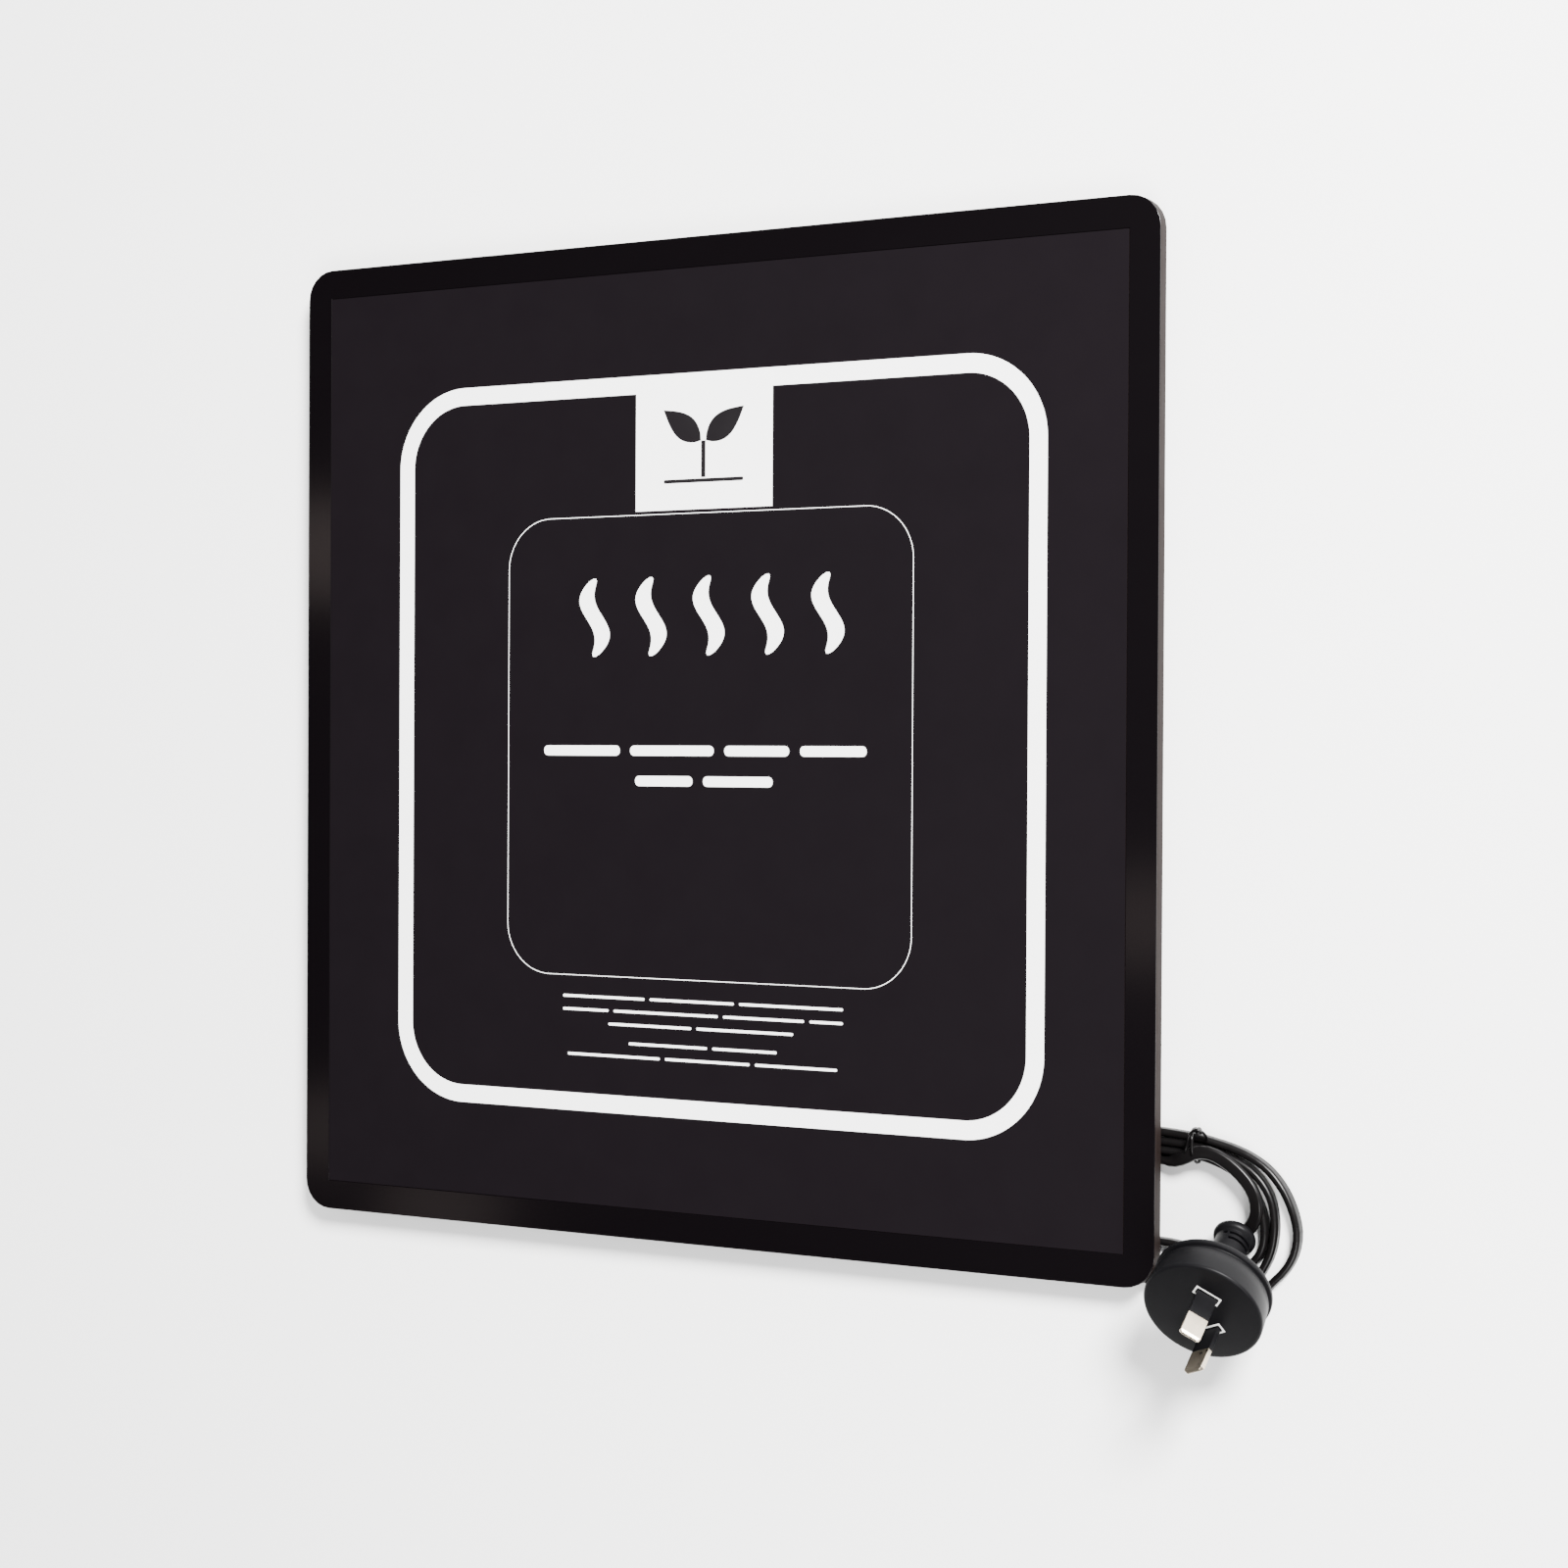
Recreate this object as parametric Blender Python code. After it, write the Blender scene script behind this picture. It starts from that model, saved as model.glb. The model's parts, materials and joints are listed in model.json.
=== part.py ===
"""Seedling heat mat: a flat sealed heating panel on rubber feet, with its tied mains lead and two-pin plug.

The mat lies flat, printed face up. The origin is on the surface it stands on, under the middle of the mat.
+X runs towards the side where the lead comes out, +Y to the top of the printed face, +Z up. Metres.
"""

import math

import bmesh
import bpy
from mathutils import Matrix, Vector

MM = 0.001

# Mat, seen from above
MAT_WIDTH = 320 * MM
MAT_HEIGHT = 330 * MM
CORNER_RADIUS = 10 * MM
BORDER = 10 * MM
FOOT_HEIGHT = 5 * MM

# Layers of the slab, from the bottom up
TRAY_FLOOR = 1.0 * MM
PAD = 0.6 * MM
CARRIER = 0.25 * MM
WIRE_DIAMETER = 0.7 * MM
SPREADER = 0.3 * MM
PANEL = 1.4 * MM
PANEL_LIP = 0.65 * MM
FACE_SHEET = 0.2 * MM
SHEET_GAP = 0.15 * MM
TRAY_WALL = 2.0 * MM
SEAL_WIDTH = 2.5 * MM
FIT = 0.3 * MM

# Feet
FOOT_RADIUS = 6 * MM
FOOT_TAPER = 0.8 * MM
FOOT_INSET_X = 16 * MM
FOOT_INSET_Y = 27 * MM

# Heating wire
WIRE_RUNS = 16
WIRE_MARGIN = 18 * MM
WIRE_RETURN_INSET = 9 * MM

# Entry housing under the mat, centred on the lead's own line
ENTRY_X = -62 * MM
ENTRY_INSET = 46.6 * MM
ENTRY_Y = ENTRY_INSET - MAT_HEIGHT / 2
HOUSING_LENGTH = 56 * MM
HOUSING_WIDTH = 24 * MM
HOUSING_DROP = 4.5 * MM
HOUSING_RADIUS = 3 * MM
HOUSING_SKIN = 0.8 * MM
POCKET_LENGTH = 36 * MM
POCKET_WIDTH = 19 * MM
SCREW_SHANK = 1.0 * MM
SCREW_HEAD = 2.1 * MM
SCREW_HEAD_DEPTH = 1.1 * MM
SCREW_REACH = 0.9 * MM
CLAMP_BAR = (4 * MM, 12 * MM, 1.2 * MM)
CLAMP_INSET = 5 * MM
CORE_RADIUS = 0.45 * MM
CORE_REACH = 6 * MM
CUTOUT_SIZE = (9 * MM, 4 * MM, 2.6 * MM)
CUTOUT_PLACE = (-4 * MM, -5.5 * MM)
CRIMP_RADIUS = 1.2 * MM
CRIMP_LENGTH = 6 * MM
CRIMP_RISE = 2.2 * MM
LIVE_CRIMP = (2.5 * MM, -2.2 * MM)
NEUTRAL_CRIMP = (-4 * MM, 3.5 * MM)

# Lead: a flat twin cord, standing on edge in the hank
CORD_THICKNESS = 2.5 * MM
EXIT_Z = 2.8 * MM
CORD_Z = 2.45 * MM
RELIEF_LENGTH = 30 * MM
RELIEF_ROOT = (3.0 * MM, 1.75 * MM)
RELIEF_TIP = (2.4 * MM, 1.55 * MM)
RELIEF_KEY = 6 * MM

# Hank
HANK_BOTTOM = 0.75 * MM
HANK_HEIGHT = 3.6 * MM
HANK_TURN_X = 18
HANK_SHOULDER = (24, -117.1)
HANK_OUTER_RUNS = (-120.4, -161.4)
HANK_INNER_RUNS = (-128.5, -150.9)
HANK_OUTSIDE = [
    (165, -117.1), (171, -117.9), (179, -119.3), (188, -122.0), (197, -127.4), (202.5, -135.5),
    (204.6, -145.5), (202.8, -153.6), (197.2, -160.3), (191, -167.0), (182.5, -174.4), (172, -173.8),
    (161, -168.4), (152, -162.0), (143, -161.4),
]
HANK_INSIDE = [
    (164, -127.6), (171, -125.8), (179, -127.8), (184.5, -130.8), (187.6, -134.6), (189.4, -139.0),
    (190.6, -144.0), (190.8, -149.5), (189.0, -154.2), (184.6, -156.8), (178, -156.4), (171.5, -153.2),
    (165, -150.8), (158, -149.9),
]
TAIL_ROUTE = [
    (162.2, -123.6, 5.9), (167.4, -121.6, 5.9), (172.4, -121.2, 5.9), (177.2, -122.8, 5.9),
    (182.0, -125.8, 5.9), (186.6, -129.8, 5.9), (190.0, -134.4, 5.9), (190.9, -138.2, 5.9),
    (189.2, -141.2, 5.4), (186.8, -143.1, 4.0), (185.1, -144.4, 3.0), (184.2, -145.3, 2.75),
]

# Tie round the strands of the hank
TIE_X = 171 * MM
TIE_WIDTH = 2.4 * MM
TIE_WALL = 0.45 * MM
TIE_INSIDE_Y = (-127.3 * MM, -117.4 * MM)
TIE_INSIDE_Z = (0.6 * MM, 7.4 * MM)

# Plug, along its own axis from its face (0) back to the end of its collar
PLUG_X = 183.5 * MM
PLUG_COLLAR_END_Y = -146.9 * MM
PLUG_ELEVATION = math.radians(57)
PLUG_LENGTH = 34 * MM
FACE_RADIUS = 18.0 * MM
FACE_EDGE = 0.7 * MM
BODY_END_RADIUS = 16.9 * MM
BODY_LENGTH = 9.6 * MM
FLANGE_RADIUS = 17.8 * MM
FLANGE_END = 12.2 * MM
NECK_RADIUS = 5.3 * MM
NECK_START = 14.6 * MM
NECK_SLOT = (8 * MM, 1.3 * MM, 0.9 * MM)
NECK_SLOT_ROWS = (25.3 * MM, 27.3 * MM, 29.3 * MM)
COLLAR_RADIUS = 5.95 * MM
COLLAR_WIDTH = 2.8 * MM
PIN_CIRCLE = 7.92 * MM
PIN_MIDDLE = math.radians(6)
PIN_SPREAD = math.radians(60)
PIN_SETBACK = 1.9 * MM
PIN_LENGTH = 17.1 * MM
PIN_WIDTH = 6.35 * MM
PIN_THICKNESS = 1.6 * MM
PIN_CHAMFER = 0.8 * MM
PIN_ROOT = 5.5 * MM
PIN_CORE_STEP = 0.5 * MM
SLEEVE_LENGTH = 8.7 * MM
SEAT_MARGIN = 0.9 * MM
BRIDGE_RADIUS = 12.5 * MM
BRIDGE_FRONT = 3.0 * MM
BRIDGE_BACK = 7.0 * MM

# Heights worked out from the layers
TRAY_Z = FOOT_HEIGHT
FLOOR_Z = TRAY_Z + TRAY_FLOOR
PAD_Z = FLOOR_Z + SHEET_GAP
CARRIER_Z = PAD_Z + PAD + SHEET_GAP
WIRE_Z = CARRIER_Z + CARRIER + SHEET_GAP + WIRE_DIAMETER / 2
SPREADER_Z = WIRE_Z + WIRE_DIAMETER / 2 + SHEET_GAP
PANEL_Z = SPREADER_Z + SPREADER + SHEET_GAP
TOP_Z = PANEL_Z + PANEL
LIP_Z = TOP_Z - PANEL_LIP
HOUSING_TOP = TRAY_Z - SHEET_GAP
HOUSING_Z = TRAY_Z - HOUSING_DROP
CORE_Z = HOUSING_Z + HOUSING_SKIN + 1.6 * MM

COLOURS = {
    "gloss_black": ((0.006, 0.005, 0.006), 0.12, 0.0),
    "face_print": ((0.016, 0.013, 0.016), 0.5, 0.0),
    "tray_black": ((0.035, 0.028, 0.027), 0.45, 0.0),
    "rubber": ((0.02, 0.02, 0.02), 0.8, 0.0),
    "aluminium": ((0.75, 0.76, 0.78), 0.3, 1.0),
    "resistance_wire": ((0.4, 0.38, 0.36), 0.35, 1.0),
    "glass_cloth": ((0.8, 0.77, 0.68), 0.8, 0.0),
    "foam": ((0.55, 0.55, 0.57), 0.9, 0.0),
    "screw_steel": ((0.6, 0.6, 0.6), 0.3, 1.0),
    "cord_black": ((0.016, 0.016, 0.017), 0.4, 0.0),
    "plug_black": ((0.02, 0.02, 0.022), 0.5, 0.0),
    "seat_grey": ((0.6, 0.6, 0.58), 0.5, 0.0),
    "nickel": ((0.75, 0.7, 0.6), 0.25, 1.0),
    "live_brown": ((0.2, 0.08, 0.03), 0.5, 0.0),
    "neutral_blue": ((0.03, 0.1, 0.4), 0.5, 0.0),
    "copper": ((0.7, 0.45, 0.3), 0.3, 1.0),
    "fuse_cream": ((0.8, 0.75, 0.6), 0.5, 0.0),
}


def clear_scene():
    for obj in list(bpy.data.objects):
        bpy.data.objects.remove(obj, do_unlink=True)


def material(name):
    found = bpy.data.materials.get(name)
    if found:
        return found
    colour, roughness, metallic = COLOURS[name]
    made = bpy.data.materials.new(name)
    made.use_nodes = True
    shader = made.node_tree.nodes["Principled BSDF"]
    shader.inputs["Base Color"].default_value = (*colour, 1.0)
    shader.inputs["Roughness"].default_value = roughness
    shader.inputs["Metallic"].default_value = metallic
    return made


def add_object(name, shape, colour, place=None, smooth=False):
    """Turns a finished bmesh into a named object."""
    bmesh.ops.recalc_face_normals(shape, faces=shape.faces)
    mesh = bpy.data.meshes.new(name)
    shape.to_mesh(mesh)
    shape.free()
    if smooth:
        mesh.shade_smooth()
        mesh.set_sharp_from_angle(angle=math.radians(35))
    obj = bpy.data.objects.new(name, mesh)
    bpy.context.scene.collection.objects.link(obj)
    if colour:
        mesh.materials.append(material(colour))
    if place:
        obj.matrix_world = place
    return obj


def cutter(shape, name, place=None):
    """A helper that only cuts others and is never shown."""
    obj = add_object(name, shape, None, place)
    obj.hide_render = True
    obj.display_type = "WIRE"
    return obj


def cut(obj, tool, operation="DIFFERENCE"):
    modifier = obj.modifiers.new(tool.name, "BOOLEAN")
    modifier.operation = operation
    modifier.object = tool
    modifier.solver = "EXACT"


def rounded_rectangle(width, height, radius, steps=6):
    """The outline's points, anticlockwise, centred on the origin."""
    points = []
    for turn, (side_x, side_y) in enumerate(((1, 1), (-1, 1), (-1, -1), (1, -1))):
        centre_x = side_x * (width / 2 - radius)
        centre_y = side_y * (height / 2 - radius)
        for step in range(steps + 1):
            angle = math.pi / 2 * (turn + step / steps)
            points.append((centre_x + radius * math.cos(angle), centre_y + radius * math.sin(angle)))
    return points


def prism(outline, low, high):
    """A closed solid: the outline's area between two heights."""
    shape = bmesh.new()
    corners = [shape.verts.new((x, y, low)) for x, y in outline]
    base = shape.faces.new(corners)
    raised = bmesh.ops.extrude_face_region(shape, geom=[base])
    lifted = [item for item in raised["geom"] if isinstance(item, bmesh.types.BMVert)]
    bmesh.ops.translate(shape, verts=lifted, vec=(0, 0, high - low))
    return shape


def box(size_x, size_y, low, high, centre=(0, 0)):
    half_x = size_x / 2
    half_y = size_y / 2
    corners = [(-half_x, -half_y), (half_x, -half_y), (half_x, half_y), (-half_x, half_y)]
    return prism([(x + centre[0], y + centre[1]) for x, y in corners], low, high)


def lathe(profile, steps=28):
    """Turns (radius, height) points, which start and end on the axis, about Z."""
    shape = bmesh.new()
    points = [shape.verts.new((radius, 0, height)) for radius, height in profile]
    edges = [shape.edges.new(pair) for pair in zip(points, points[1:])]
    bmesh.ops.spin(
        shape, geom=points + edges, cent=(0, 0, 0), axis=(0, 0, 1), dvec=(0, 0, 0),
        angle=2 * math.pi, steps=steps, use_merge=True,
    )
    bmesh.ops.remove_doubles(shape, verts=shape.verts, dist=1e-6)
    return shape


def loft(sections):
    """A closed solid through (height, half width, half thickness) rectangles, along Z."""
    shape = bmesh.new()
    rings = []
    for height, half_x, half_y in sections:
        corners = ((-half_x, -half_y), (half_x, -half_y), (half_x, half_y), (-half_x, half_y))
        rings.append([shape.verts.new((x, y, height)) for x, y in corners])
    shape.faces.new(rings[0])
    shape.faces.new(rings[-1])
    for lower, upper in zip(rings, rings[1:]):
        for i in range(4):
            j = (i + 1) % 4
            shape.faces.new((lower[i], lower[j], upper[j], upper[i]))
    return shape


def smooth_points(points, spacing):
    """Points about this far apart along a smooth curve through the given ones."""
    given = [Vector(point) for point in points]
    ends = [2 * given[0] - given[1]] + given + [2 * given[-1] - given[-2]]
    fine = []
    for before, start, end, after in zip(ends, ends[1:], ends[2:], ends[3:]):
        for step in range(12):
            t = step / 12
            fine.append(0.5 * (
                2 * start + (end - before) * t
                + (2 * before - 5 * start + 4 * end - after) * t**2
                + (3 * start - before - 3 * end + after) * t**3
            ))
    fine.append(given[-1])
    along = [0.0]
    for a, b in zip(fine, fine[1:]):
        along.append(along[-1] + (b - a).length)
    count = max(2, round(along[-1] / spacing) + 1)
    taken = []
    index = 0
    for k in range(count):
        target = along[-1] * k / (count - 1)
        while index < len(along) - 2 and along[index + 1] < target:
            index += 1
        share = (target - along[index]) / max(along[index + 1] - along[index], 1e-12)
        taken.append(fine[index].lerp(fine[index + 1], min(1.0, share)))
    return taken


def tube(name, points, radius, colour):
    """A round solid along the points, with flat closed ends."""
    curve = bpy.data.curves.new(name, "CURVE")
    curve.dimensions = "3D"
    curve.bevel_depth = radius
    curve.bevel_resolution = 2
    curve.use_fill_caps = True
    spline = curve.splines.new("POLY")
    spline.points.add(len(points) - 1)
    for item, point in zip(spline.points, points):
        item.co = (*point, 1.0)
    curve.materials.append(material(colour))
    obj = bpy.data.objects.new(name, curve)
    bpy.context.scene.collection.objects.link(obj)
    return obj


def entry(x, y):
    """A point given from the entry housing's centre, in the mat's own frame."""
    return (ENTRY_X + x, ENTRY_Y + y)


def make_tray():
    outline = rounded_rectangle(MAT_WIDTH, MAT_HEIGHT, CORNER_RADIUS)
    tray = add_object("base_tray", prism(outline, TRAY_Z, LIP_Z - SHEET_GAP), "tray_black")
    inside = rounded_rectangle(
        MAT_WIDTH - 2 * TRAY_WALL, MAT_HEIGHT - 2 * TRAY_WALL, CORNER_RADIUS - TRAY_WALL
    )
    cut(tray, cutter(prism(inside, FLOOR_Z, TOP_Z), "tray_inside"))
    window = box(POCKET_LENGTH, POCKET_WIDTH, 0, TOP_Z, entry(0, 0))
    cut(tray, cutter(window, "tray_window"))
    for index, (x, y) in enumerate(housing_screw_places()):
        radius = SCREW_SHANK + SHEET_GAP
        hole = lathe([(0, TOP_Z), (radius, TOP_Z), (radius, 0), (0, 0)], 12)
        cut(tray, cutter(hole, f"tray_hole_{index}", Matrix.Translation((x, y, 0))))


def make_panel():
    outline = rounded_rectangle(MAT_WIDTH, MAT_HEIGHT, CORNER_RADIUS)
    panel = add_object("top_panel", prism(outline, LIP_Z, TOP_Z), "gloss_black")
    step_width = MAT_WIDTH - 2 * (TRAY_WALL + FIT)
    step_height = MAT_HEIGHT - 2 * (TRAY_WALL + FIT)
    step = rounded_rectangle(step_width, step_height, CORNER_RADIUS - TRAY_WALL - FIT)
    cut(panel, cutter(prism(step, PANEL_Z, LIP_Z + SHEET_GAP), "panel_step"), "UNION")
    recess = box(
        MAT_WIDTH - 2 * BORDER, MAT_HEIGHT - 2 * BORDER, TOP_Z - FACE_SHEET - SHEET_GAP, TOP_Z + FIT
    )
    cut(panel, cutter(recess, "panel_recess"))


def service_window():
    """Room over the entry housing, and down to the first run of wire, where the leads pass under it."""
    top = ENTRY_Y + HOUSING_WIDTH / 2
    bottom = -MAT_HEIGHT / 2 + WIRE_MARGIN - 3 * MM
    return box(HOUSING_LENGTH, top - bottom, 0, TOP_Z, (ENTRY_X, (top + bottom) / 2))


def make_sheets():
    face = box(
        MAT_WIDTH - 2 * (BORDER + SHEET_GAP), MAT_HEIGHT - 2 * (BORDER + SHEET_GAP),
        TOP_Z - FACE_SHEET, TOP_Z,
    )
    add_object("printed_face_sheet", face, "face_print")
    inner_width = MAT_WIDTH - 2 * (TRAY_WALL + FIT)
    inner_height = MAT_HEIGHT - 2 * (TRAY_WALL + FIT)
    inner_radius = CORNER_RADIUS - TRAY_WALL - FIT
    seal = add_object(
        "edge_seal",
        prism(rounded_rectangle(inner_width, inner_height, inner_radius), PAD_Z, PANEL_Z - SHEET_GAP),
        "rubber",
    )
    sheet_width = inner_width - 2 * SEAL_WIDTH
    sheet_height = inner_height - 2 * SEAL_WIDTH
    cut(seal, cutter(box(sheet_width, sheet_height, 0, TOP_Z), "seal_inside"))
    layers = (
        ("insulation_pad", PAD_Z, PAD, "foam", True),
        ("element_carrier", CARRIER_Z, CARRIER, "glass_cloth", True),
        ("heat_spreader", SPREADER_Z, SPREADER, "aluminium", False),
    )
    for name, low, thickness, colour, has_window in layers:
        sheet = box(sheet_width - 2 * FIT, sheet_height - 2 * FIT, low, low + thickness)
        layer = add_object(name, sheet, colour)
        if has_window:
            cut(layer, cutter(service_window(), f"{name}_window"))


def wire_pitch():
    return (MAT_HEIGHT - 2 * WIRE_MARGIN) / (WIRE_RUNS - 1)


def under_wire_z():
    """Height at which a lead crosses under the wire, on the tray's floor."""
    return FLOOR_Z + SHEET_GAP + WIRE_DIAMETER / 2


def heating_wire_points():
    """One line from the live crimp, back and forth, and down the left side to the neutral crimp."""
    pitch = wire_pitch()
    right = MAT_WIDTH / 2 - WIRE_MARGIN - pitch / 2
    left = -MAT_WIDTH / 2 + WIRE_MARGIN + pitch / 2
    bottom = -MAT_HEIGHT / 2 + WIRE_MARGIN
    low = under_wire_z()
    crimp_z = CORE_Z + CRIMP_RISE
    start = LIVE_CRIMP[0] + CRIMP_LENGTH / 2 + SHEET_GAP
    points = [(*entry(start, LIVE_CRIMP[1]), crimp_z), (*entry(start + 3 * MM, -3.5 * MM), low - 1 * MM)]
    points += [(*entry(start + 4 * MM, -7 * MM), low), (entry(start + 4 * MM, 0)[0], bottom + 9 * MM, low)]
    points.append((entry(start + 7 * MM, 0)[0], bottom + 2 * MM, WIRE_Z))
    points.append((entry(start + 11 * MM, 0)[0], bottom, WIRE_Z))
    for run in range(WIRE_RUNS - 1):
        side = 1 if run % 2 == 0 else -1
        turn_x = right if side > 0 else left
        for step in range(7):
            angle = math.pi * (step / 6 - 0.5)
            x = turn_x + side * pitch / 2 * math.cos(angle)
            y = bottom + pitch * (run + 0.5 + 0.5 * math.sin(angle))
            points.append((x, y, WIRE_Z))
    top = bottom + pitch * (WIRE_RUNS - 1)
    back_x = -MAT_WIDTH / 2 + WIRE_RETURN_INSET
    corner = 4 * MM
    points += [(back_x + corner, top, WIRE_Z), (back_x, top - corner, WIRE_Z)]
    points += [(back_x, bottom + corner, WIRE_Z), (back_x + corner, bottom, WIRE_Z)]
    end = NEUTRAL_CRIMP[0] - CRIMP_LENGTH / 2 - SHEET_GAP
    aside = end - 5.5 * MM
    points.append((entry(aside - 5 * MM, 0)[0], bottom, WIRE_Z))
    points.append((entry(aside - 1 * MM, 0)[0], bottom + 2 * MM, WIRE_Z))
    points += [(entry(aside, 0)[0], bottom + 9 * MM, low), (*entry(aside, -5 * MM), low)]
    points.append((*entry(aside + 0.5 * MM, 1 * MM), low - 0.6 * MM))
    points.append((*entry(aside + 3 * MM, NEUTRAL_CRIMP[1]), crimp_z))
    points.append((*entry(end, NEUTRAL_CRIMP[1]), crimp_z))
    return points


def make_feet():
    mat_x = MAT_WIDTH / 2 - FOOT_INSET_X
    mat_y = MAT_HEIGHT / 2 - FOOT_INSET_Y
    places = {
        "foot_top_left": (-mat_x, mat_y),
        "foot_top_right": (mat_x, mat_y),
        "foot_middle_left": (-mat_x, 0),
        "foot_middle_right": (mat_x, 0),
        "foot_bottom_left": (-mat_x, -mat_y),
        "foot_bottom_right": (mat_x, -mat_y),
    }
    top = TRAY_Z - SHEET_GAP
    for name, (x, y) in places.items():
        shape = lathe([(0, top), (FOOT_RADIUS, top), (FOOT_RADIUS - FOOT_TAPER, 0), (0, 0)], 24)
        add_object(name, shape, "rubber", Matrix.Translation((x, y, 0)), smooth=True)


def housing_screw_places():
    """Screws stand in the solid ends of the housing, either side of the lead."""
    x = (HOUSING_LENGTH + POCKET_LENGTH) / 4
    y = HOUSING_WIDTH / 2 - SCREW_HEAD - 1.4 * MM
    return [entry(side_x * x, side_y * y) for side_x in (-1, 1) for side_y in (-1, 1)]


def make_housing():
    outline = rounded_rectangle(HOUSING_LENGTH, HOUSING_WIDTH, HOUSING_RADIUS)
    shifted = [entry(x, y) for x, y in outline]
    housing = add_object("entry_housing", prism(shifted, HOUSING_Z, HOUSING_TOP), "tray_black")
    pocket = box(POCKET_LENGTH, POCKET_WIDTH, HOUSING_Z + HOUSING_SKIN, TOP_Z, entry(0, 0))
    cut(housing, cutter(pocket, "housing_pocket"))
    half_y, half_z = RELIEF_ROOT
    channel = box(
        HOUSING_LENGTH / 2, 2 * (half_y + FIT), EXIT_Z - half_z - SHEET_GAP, TOP_Z,
        entry(HOUSING_LENGTH / 4 + POCKET_LENGTH / 4, 0),
    )
    cut(housing, cutter(channel, "housing_channel"))
    head_top = HOUSING_Z + SCREW_HEAD_DEPTH + SHEET_GAP
    for index, (x, y) in enumerate(housing_screw_places()):
        wide = SCREW_HEAD + SHEET_GAP
        narrow = SCREW_SHANK + SHEET_GAP
        steps = [(0, TOP_Z), (narrow, TOP_Z), (narrow, head_top), (wide, head_top), (wide, 0), (0, 0)]
        hole = lathe(steps, 16)
        cut(housing, cutter(hole, f"housing_hole_{index}", Matrix.Translation((x, y, 0))))
        screw = screw_shape(HOUSING_Z, SCREW_HEAD_DEPTH, TRAY_Z + SCREW_REACH)
        place = Matrix.Translation((x, y, 0))
        add_object(f"housing_screw_{index + 1}", screw, "screw_steel", place, smooth=True)


def screw_shape(low, head, high):
    profile = [(0, high), (SCREW_SHANK, high), (SCREW_SHANK, low + head), (SCREW_HEAD, low + head)]
    return lathe(profile + [(SCREW_HEAD, low), (0, low)], 16)


def make_strain_relief():
    """Tapered flat sleeve on the lead, keyed into the housing's end."""
    start = HOUSING_LENGTH / 2 - RELIEF_KEY
    end = HOUSING_LENGTH / 2 + RELIEF_LENGTH
    sections = [(start, *RELIEF_ROOT), (HOUSING_LENGTH / 2 + 4 * MM, *RELIEF_ROOT), (end, *RELIEF_TIP)]
    lie_down = Matrix(((0, 0, 1, ENTRY_X), (1, 0, 0, ENTRY_Y), (0, 1, 0, EXIT_Z), (0, 0, 0, 1)))
    relief = add_object("cord_strain_relief", loft(sections), "cord_black", lie_down)
    bore = CORD_THICKNESS / 2 + SHEET_GAP
    hole = lathe([(0, end + FIT), (bore, end + FIT), (bore, start - FIT), (0, start - FIT)], 16)
    cut(relief, cutter(hole, "relief_bore", lie_down))


def make_clamp():
    """Bar across the lead's end, with a screw either side of it."""
    width_x, width_y, thick = CLAMP_BAR
    clamp_x, clamp_y = entry(POCKET_LENGTH / 2 - CLAMP_INSET, 0)
    low = EXIT_Z + CORD_THICKNESS / 2 + SHEET_GAP
    bar = box(width_x, width_y, low, low + thick, (clamp_x, clamp_y))
    clamp = add_object("cord_clamp", bar, "tray_black")
    shank = 0.75 * MM
    head = 1.5 * MM
    top = low + thick + SHEET_GAP
    bottom = HOUSING_Z + HOUSING_SKIN + SHEET_GAP
    for index, side in enumerate((-1, 1)):
        place = Matrix.Translation((clamp_x, clamp_y + side * (width_y / 2 - 2 * MM), 0))
        bore = shank + SHEET_GAP
        hole = lathe([(0, TOP_Z), (bore, TOP_Z), (bore, 0), (0, 0)], 12)
        cut(clamp, cutter(hole, f"clamp_hole_{index}", place))
        head_top = top + shank
        profile = [(0, head_top), (head, head_top), (head, top), (shank, top), (shank, bottom), (0, bottom)]
        add_object(f"clamp_screw_{index + 1}", lathe(profile, 12), "screw_steel", place, smooth=True)


def lead_end_x():
    """Where the lead's sheath stops, from the housing's centre."""
    return POCKET_LENGTH / 2 - CLAMP_INSET - CORE_REACH


def make_crimp(name, x, y):
    half = CRIMP_LENGTH / 2
    height = CORE_Z + CRIMP_RISE
    along_x = Matrix(((0, 0, 1, ENTRY_X + x), (0, 1, 0, ENTRY_Y + y), (-1, 0, 0, height), (0, 0, 0, 1)))
    shape = lathe([(0, half), (CRIMP_RADIUS, half), (CRIMP_RADIUS, -half), (0, -half)], 14)
    add_object(name, shape, "copper", along_x, smooth=True)


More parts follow.
